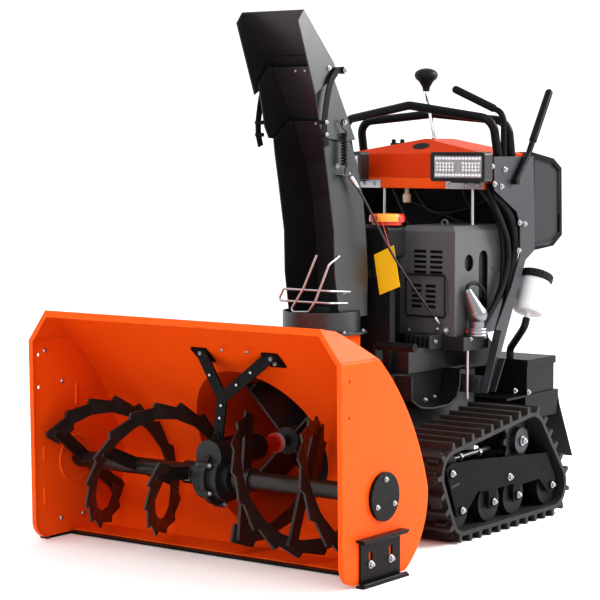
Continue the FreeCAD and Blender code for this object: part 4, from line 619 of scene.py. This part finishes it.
# ---- Engine ---------------------------------------------------------------------------------
# A small four-stroke: cast block, textured black plastic cowl, recoil starter, muffler, and a
# skirt and bracket of folded sheet. A bright metal shield covers the spark plug, and sheathed
# leads hang from the dash to the engine and the frame.
dress(cast_black, "engine_block")
moulded_black = coated("moulded_black", (0.010, 0.010, 0.011), 0.42, grain=900.0, depth=0.0001,
                       ease=0.0025, edge_wear_and_highlight=(0.04, 0.04, 0.042), wear_and_highlight_share=0.5,
                       sockets={"Specular IOR Level": 0.16})
cowl_plastic = coated("cowl_plastic", (0.100, 0.100, 0.105), 0.6, grain=1100.0, depth=0.0001,
                      ease=0.003, edge_wear_and_highlight=(0.07, 0.07, 0.072), wear_and_highlight_share=0.6,
                      sockets={"Specular IOR Level": 0.15})
dress(cowl_plastic, "engine_cowl")
dress(moulded_black, "recoil_starter", "muffler", "belt_cover", "engine_skirt", "fuel_tank",
      "battery_box", "oil_hose")
shield = coated("bright_shield", (0.24, 0.25, 0.265), 0.32, drift=0.1, grain=160.0,
                depth=0.0002, sockets={"Metallic": 0.95})
dress(shield, "plug_cap")
boot = Vector((0.230, 0.259, 0.475))
rings = Stock()
for lift, radius in ((0.003, 0.0262), (0.011, 0.0262), (0.019, 0.0248)):
    rings.wire([boot + Vector((radius * math.cos(a), radius * math.sin(a), lift))
                for a in (math.tau * k / 32 for k in range(32))], 0.0018, 8, closed=True)
rings.piece("boot_rings", zinc_finish, "zinc", "chassis")
plug_lead = [(0.217, 0.238, 0.590), (0.216, 0.232, 0.603), (0.219, 0.246, 0.611),
             (0.222, 0.266, 0.612), (0.222, 0.290, 0.602), (0.217, 0.315, 0.585),
             (0.205, 0.335, 0.570), (0.192, 0.345, 0.560)]
frame_lead = [(0.205, 0.330, 0.866), (0.222, 0.352, 0.840), (0.231, 0.378, 0.820),
              (0.235, 0.410, 0.788), (0.236, 0.432, 0.750), (0.2365, 0.440, 0.702),
              (0.2365, 0.430, 0.655), (0.236, 0.413, 0.608), (0.235, 0.398, 0.550),
              (0.2355, 0.366, 0.495), (0.2355, 0.345, 0.450), (0.2355, 0.336, 0.391)]
starter_lead = [(0.190, 0.325, 0.866), (0.205, 0.335, 0.836), (0.217, 0.362, 0.800),
                (0.219, 0.392, 0.752), (0.2185, 0.407, 0.700), (0.2185, 0.408, 0.644),
                (0.218, 0.397, 0.590), (0.215, 0.340, 0.520), (0.210, 0.290, 0.480)]
throttle_lead = [(0.212, 0.330, 0.866), (0.226, 0.350, 0.812), (0.232, 0.382, 0.760),
                 (0.2325, 0.404, 0.725), (0.2325, 0.412, 0.690), (0.2325, 0.412, 0.660),
                 (0.2325, 0.400, 0.624), (0.232, 0.378, 0.586), (0.229, 0.345, 0.546),
                 (0.222, 0.306, 0.506), (0.213, 0.286, 0.482)]
dash_leads = (([(-0.020, 0.330, 0.866), (0.020, 0.345, 0.800), (0.080, 0.370, 0.790),
                (0.150, 0.400, 0.815), (0.205, 0.420, 0.862)], 0.0035),
              ([(-0.090, 0.335, 0.866), (-0.060, 0.350, 0.790), (-0.020, 0.330, 0.740),
                (-0.010, 0.300, 0.700)], 0.0045),
              ([(0.130, 0.340, 0.866), (0.140, 0.350, 0.820), (0.150, 0.380, 0.800),
                (0.120, 0.430, 0.830)], 0.0030))
leads = Stock()
for route, radius in ((plug_lead, 0.0048), (frame_lead, 0.0105), (starter_lead, 0.0070),
                      (throttle_lead, 0.0080), *dash_leads):
    leads.wire(leads.bend(route), radius, 12)
leads.piece("engine_leads", moulded_black, "black_plastic", "chassis", smooth=60.0)
cowl_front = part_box("engine_cowl")[0].y
# A dark bead round the cowl's pocket stands in for the shadow along the pocket's edge: a painted
# shadow line.
pocket_shadow = Stock()
x0, x1, z0, z1, turn = 0.0535, 0.1735, 0.5245, 0.6335, 0.006
ring = []
for corner_x, corner_z, first in ((x1 - turn, z1 - turn, 0), (x0 + turn, z1 - turn, 90),
                                  (x0 + turn, z0 + turn, 180), (x1 - turn, z0 + turn, 270)):
    for angle in (math.radians(first + 18 * k) for k in range(6)):
        ring.append((corner_x + turn * math.cos(angle), cowl_front - 0.0005,
                     corner_z + turn * math.sin(angle)))
pocket_shadow.wire(ring, 0.0022, 8, closed=True)
pocket_shadow.piece("cowl_pocket_shadow_line", moulded_black, "black_plastic", "chassis")
rim = Stock()
low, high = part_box("engine_skirt")
rim_top = 0.383
rim_line = [(low.y, rim_top), (low.y, low.z + 0.034), (low.y + 0.004, low.z + 0.029),
            (low.y + 0.036, low.z + 0.011), (low.y + 0.060, low.z + 0.0055),
            (low.y + 0.102, low.z + 0.001), (high.y - 0.060, low.z + 0.002),
            (high.y - 0.047, low.z + 0.0045), (high.y - 0.018, low.z + 0.019),
            (high.y - 0.012, low.z + 0.027), (high.y - 0.001, low.z + 0.050),
            (high.y - 0.001, rim_top)]
rim.wire([(high.x - 0.002, y + (0.003 if y < 0.1 else -0.002), z + 0.002) for y, z in rim_line],
         0.0026, 8)
rim.piece("skirt_rim", steel_finish, "black_plastic", "chassis")
bracket = Stock()
fold_x, fold_z, fold_sheet = 0.196, 0.384, 0.003
bracket.board([(fold_x, y, z) for y, z in ((0.268, 0.474), (0.352, 0.474), (0.396, 0.440),
                                           (0.396, fold_z), (0.268, fold_z))],
              (fold_sheet, 0, 0))
bracket.board([(x, y, fold_z) for x, y in ((0.168, 0.268), (fold_x + fold_sheet, 0.268),
                                           (fold_x + fold_sheet, 0.396), (0.168, 0.396))],
              (0, 0, fold_sheet))
bracket.eased(0.0008).piece("engine_bracket", moulded_black, "black_paint", "chassis")
engine_bolts = Stock()
for place, axis, size in (((0.1745, 0.1450, 0.4655), (1, 0, 0), 0.0055),
                          ((0.1535, 0.1310, 0.3140), (1, 0, 0), 0.0060),
                          ((0.1535, 0.1750, 0.3180), (1, 0, 0), 0.0050),
                          ((0.0620, cowl_front - 0.0002, 0.4860), (0, -1, 0), 0.0050),
                          ((0.1757, cowl_front - 0.0002, 0.4900), (0, -1, 0), 0.0085),
                          ((0.1500, cowl_front - 0.0002, 0.4925), (0, -1, 0), 0.0055),
                          ((0.2325, 0.2250, 0.4690), (1, 0, 0), 0.0050),
                          ((0.2325, 0.2950, 0.4690), (1, 0, 0), 0.0050)):
    engine_bolts.bolt(place, axis, size)
engine_bolts.piece("engine_bolts", zinc_finish, "zinc", "chassis")

# ---- Tank, cap and tag ----------------------------------------------------------------------
# The black tank's filler cap is red plastic with an amber band over its middle. A plain yellow
# card hangs from it on a red string. The plug boot has a dab of the cap's red at its foot.
cap_red = coated("cap_red", (0.70, 0.05, 0.03), 0.3, sockets={"Coat Weight": 0.3})
cap_low, cap_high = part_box("fuel_cap")
cap_mid = (cap_low + cap_high) / 2
band_half = 0.026
across = ((cap_red.along("X") - cap_mid.x) * 0.80 + (cap_red.along("Y") - cap_mid.y) * 0.59)
band = (across * across) < band_half ** 2
high_up = cap_red.along("Z") > cap_low.z + 0.010
shade = cap_red.mix(cap_red.noise(12.0), (0.62, 0.03, 0.02), (0.74, 0.06, 0.03))
shade = cap_red.mix(band * high_up, shade, (0.90, 0.38, 0.04))
cap_red.feed(cap_red.shader, {"Base Color": shade})
dress(cap_red, "fuel_cap")
red_mark = Stock()
red_mark.turned([(0.006, 0.0), (0.006, 0.0016), (0.004, 0.0022)], (0.2125, 0.2385, 0.4870),
                (-0.62, -0.72, 0.2), 14)
red_mark.piece("boot_mark", cap_red, "silver_cap", "chassis")
card = coated("yellow_card", (0.80, 0.50, 0.008), 0.55, drift=0.04, grain=800.0)
tag_y, tag_sheet = 0.0152, 0.0011
tag_corners = [(-0.003, 0.692), (0.057, 0.718), (0.077, 0.614), (0.015, 0.590)]
tag = Stock()
tag.board([(cap_mid.x + dx, tag_y, z) for dx, z in tag_corners], (0, tag_sheet, 0))
tag_made = tag.eased(0.0004, 1).piece("hang_tag_card", card, "tag_card", "chassis")
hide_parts("hang_tag")
string = Stock()
string.wire([(cap_mid.x + 0.012, 0.025, 0.784), (cap_mid.x + 0.030, 0.019, 0.748),
             (cap_mid.x + 0.048, 0.015, 0.706)], 0.0011, 8)
string.piece("hang_tag_cord", cap_red, "tag_card", "chassis")

# ---- Battery and oil bottle -----------------------------------------------------------------
# The battery box sits in a folded tray behind the left column. Above it a translucent oil
# bottle with a ribbed black lid is clamped to the column.
dress(satin_black, "battery_tray")
bottle_white = coated("bottle_white", (0.64, 0.65, 0.66), 0.35, drift=0.04,
                      sockets={"Subsurface Weight": 0.2})
low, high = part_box("oil_bottle")
bottle_foot = Vector((high.x - 0.047, 0.487, 0.519))
lean = math.radians(24)
bottle_up = Vector((0, math.sin(lean), math.cos(lean)))
bottle = Stock()
bottle.turned([(0.0075, -0.0138), (0.0075, 0.0), (0.034, 0.0), (0.0395, 0.0025), (0.042, 0.008),
               (0.042, 0.030), (0.0412, 0.033), (0.042, 0.036), (0.042, 0.092), (0.038, 0.097)],
              bottle_foot, bottle_up, 48)
bottle_made = bottle.piece("oil_bottle_body", bottle_white, "bottle_plastic", "chassis")
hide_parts("oil_bottle")
lid = Stock()
tip = bottle_up.to_track_quat("Z", "Y")
lid_radius, rib_depth, lid_sides = 0.0468, 0.0018, 96
lid_rings = []
for height, shrink in ((0.095, 0.004), (0.0975, 0), (0.113, 0), (0.1165, 0.005)):
    ring = []
    for k in range(lid_sides):
        angle = math.tau * k / lid_sides
        radius = lid_radius - shrink - (rib_depth if k % 4 < 2 else 0)
        ring.append(bottle_foot + tip @ Vector((radius * math.cos(angle),
                                                radius * math.sin(angle), height)))
    lid_rings.append(ring)
lid.skin(lid_rings)
lid.piece("oil_bottle_lid", moulded_black, "black_plastic", "chassis")
bottle_arm = Stock()
bottle_arm.slab((low.x + 0.0002, 0.4165, 0.563), (low.x + 0.005, 0.486, 0.589))
bottle_arm.eased(0.001)
bottle_arm.piece("oil_bottle_arm", satin_black, "black_paint", "chassis")
tray_bolts = Stock()
for y, z in ((0.422, 0.316), (0.493, 0.305)):
    tray_bolts.bolt((0.2505, y, z), (1, 0, 0), 0.0065)
tray_bolts.piece("battery_tray_bolts", zinc_finish, "zinc", "chassis")

# ---- Dash and console -----------------------------------------------------------------------
# The gabled dash is moulded in orange plastic over a black console. Black tube hoops run over it
# between the columns, and thin zinc rods go down from its front edge.
console_finish = coated("console_plastic", (0.010, 0.010, 0.011), 0.36, grain=900.0,
                        depth=0.0001, ease=0.003, edge_wear_and_highlight=(0.04, 0.04, 0.042), wear_and_highlight_share=0.5,
                        sockets={"Specular IOR Level": 0.05})
# The panel inside the console's rim is painted a lighter grey than the rim: a painted highlight
# where light falls on it.
along_y, along_z = console_finish.along("Y"), console_finish.along("Z")
painted_lit_panel = (along_y > 0.5225) * (along_y < 0.6605) * (along_z > 0.6935 + 0.008 * along_y)
painted_lit_panel = painted_lit_panel * (along_z < 1.0195 - 0.160 * along_y) * (along_z < 1.2820 - 0.583 * along_y)
painted_lit_panel = painted_lit_panel * (along_z > 0.3601 + 0.560 * along_y)
console_finish.feed(console_finish.shader, {"Base Color": console_finish.mix(
    painted_lit_panel, (0.009, 0.009, 0.010), (0.042, 0.042, 0.044))})
dress(console_finish, "rear_console")
orange_plastic = coated("orange_plastic", (0.58, 0.045, 0.003), 0.46, drift=0.05, grain=800.0,
                        ease=0.004, edge_wear_and_highlight=(0.8, 0.14, 0.03), wear_and_highlight_share=0.4,
                        sockets={"Specular IOR Level": 0.12})
dress(orange_plastic, "dash_panel")
dash_low, dash_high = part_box("dash_panel")
lip = Stock()
lip.slab((dash_low.x + 0.0005, dash_low.y - 0.0014, dash_low.z + 0.0008),
         (dash_high.x - 0.0005, dash_low.y + 0.0002, dash_low.z + 0.0282))
lip.eased(0.0006, 1)
lip.piece("dash_lip", orange_coat, "orange_plastic", "chassis")
dress(satin_black, "hoop_front", "hoop_rear", "clutch_lever", "height_lever")
dress(zinc_finish, "control_rods")
stick_foot, knob_foot = Vector((0.019, 0.382, 0.9845)), Vector((0.009, 0.353, 1.113))
stick_up = (knob_foot - stick_foot).normalized()
chrome = coated("bright_chrome", (0.8, 0.8, 0.81), 0.12, drift=0.03,
                sockets={"Metallic": 1.0})
stick = Stock()
stick.turned([(0.0075, 0.0), (0.0075, 0.007), (0.0049, 0.009), (0.0049, 0.136)],
             stick_foot, stick_up, 20)
stick_made = stick.piece("joystick_rod", chrome, "chrome_rod", "chassis")
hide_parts("chute_joystick")
knob = Stock()
knob.turned([(0.0088, 0), (0.0095, 0.006), (0.0110, 0.012), (0.0195, 0.026), (0.0285, 0.034),
             (0.0318, 0.043), (0.0300, 0.0495), (0.0250, 0.0555), (0.0140, 0.0605),
             (0.0040, 0.0618)], knob_foot, (0, 0, 1), 40)
knob.piece("joystick_knob", moulded_black, "black_plastic", "chassis")
slope = Vector((0, 0.056, 0.040)).normalized()
gate_at = Vector((0.003, 0.311, 0.947)) + 0.034 * slope
gate_squeeze = 0.45
gate = Stock()
gate.turned([(0.026, -0.0002), (0.026, 0.0006)], gate_at, Vector((0, -0.040, 0.056)), 32)
for vert in gate.work.verts:
    vert.co -= gate_squeeze * (vert.co - gate_at).dot(slope) * slope
gate.piece("joystick_gate", moulded_black, "black_plastic", "chassis")
switch = Stock()
switch.slab((-0.122, 0.378, 0.9655), (-0.074, 0.392, 0.9755))
for x in (-0.116, -0.088):
    switch.turned([(0.006, 0.0), (0.006, 0.010), (0.004, 0.012)], (x, 0.385, 0.9735),
                  (0, 0, 1), 14)
switch.piece("dash_switch", moulded_black, "black_plastic", "chassis")
plug = Stock()
plug.turned([(0.009, 0.0), (0.011, 0.003), (0.011, 0.022), (0.006, 0.026), (0.006, 0.040)],
            (-0.036, 0.330, 0.815), (0, 0, 1), 14)
cream = coated("cream_plug", (0.62, 0.44, 0.34), 0.5)
plug.piece("wire_plug", cream, "bottle_plastic", "chassis")

# ---- Work lamps -----------------------------------------------------------------------------
# Two flat lamps on bolted zinc plates in front of the dash: ribbed dark housings, and clear
# lenses over rows of small bright reflectors.
lamp_housing = coated("lamp_housing", (0.012, 0.012, 0.013), 0.36, grain=700.0,
                      edge_wear_and_highlight=(0.05, 0.05, 0.05), wear_and_highlight_share=0.6)
dress(lamp_housing, "lamp_left", "lamp_right")
lens_back = coated("lamp_back", (0.42, 0.43, 0.46), 0.3, drift=0.04, grain=300.0,
                   sockets={"Metallic": 0.5})
lens_glass = coated("lamp_lens", (0.86, 0.87, 0.90), 0.10, drift=0.04,
                    sockets={"Metallic": 0.4, "Coat Weight": 1.0, "Coat Roughness": 0.03})
small_cup = [(0.0043, 0.0), (0.0030, 0.0016)]
large_cup = [(0.0046, 0.0), (0.0040, 0.0018), (0.0020, 0.0026)]
for side, name in ((1, "lamp_left"), (-1, "lamp_right")):
    low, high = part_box(name)
    middle = (low.x + high.x) / 2
    backing = Stock()
    backing.slab((low.x + 0.0095, low.y + 0.0030, low.z + 0.0135),
                 (high.x - 0.0095, low.y + 0.0048, low.z + 0.0705))
    for x in (low.x + 0.0125, high.x - 0.0125, middle):
        backing.slab((x - 0.0012, low.y + 0.0022, low.z + 0.0165),
                     (x + 0.0012, low.y + 0.0032, low.z + 0.0675))
    backing.eased(0.0003, 1)
    backing.piece(name + "_backing", lens_back, "lamp", "chassis")
    lamp_lens = Stock()
    for column in range(14):
        for z in (low.z + 0.0205, low.z + 0.0635):
            lamp_lens.turned(large_cup, (low.x + 0.0170 + 0.01008 * column, low.y + 0.003, z),
                             (0, -1, 0), 8)
    for block_x in (low.x + 0.018, high.x - 0.068):
        for column in range(6):
            for row in range(3):
                lamp_lens.turned(small_cup, (block_x + 0.0095 * column, low.y + 0.003,
                                             low.z + 0.0335 + 0.0085 * row), (0, -1, 0), 6)
    lamp_lens.piece(name + "_lens", lens_glass, "lamp", "chassis")
    plate = Stock()
    centre, plate_half, plate_y = middle - side * 0.031, 0.0575, dash_low.y - 0.0034
    plate.slab((centre - plate_half, plate_y, dash_low.z + 0.0005),
               (centre + plate_half, plate_y + 0.0019, dash_low.z + 0.0230))
    plate.eased(0.0006, 1)
    for dx in (-0.049, 0.004, 0.037):
        plate.bolt((centre + dx, plate_y, dash_low.z + 0.012), (0, -1, 0), 0.0050)
    plate.piece(name + "_bracket_plate", zinc_finish, "zinc", "chassis")
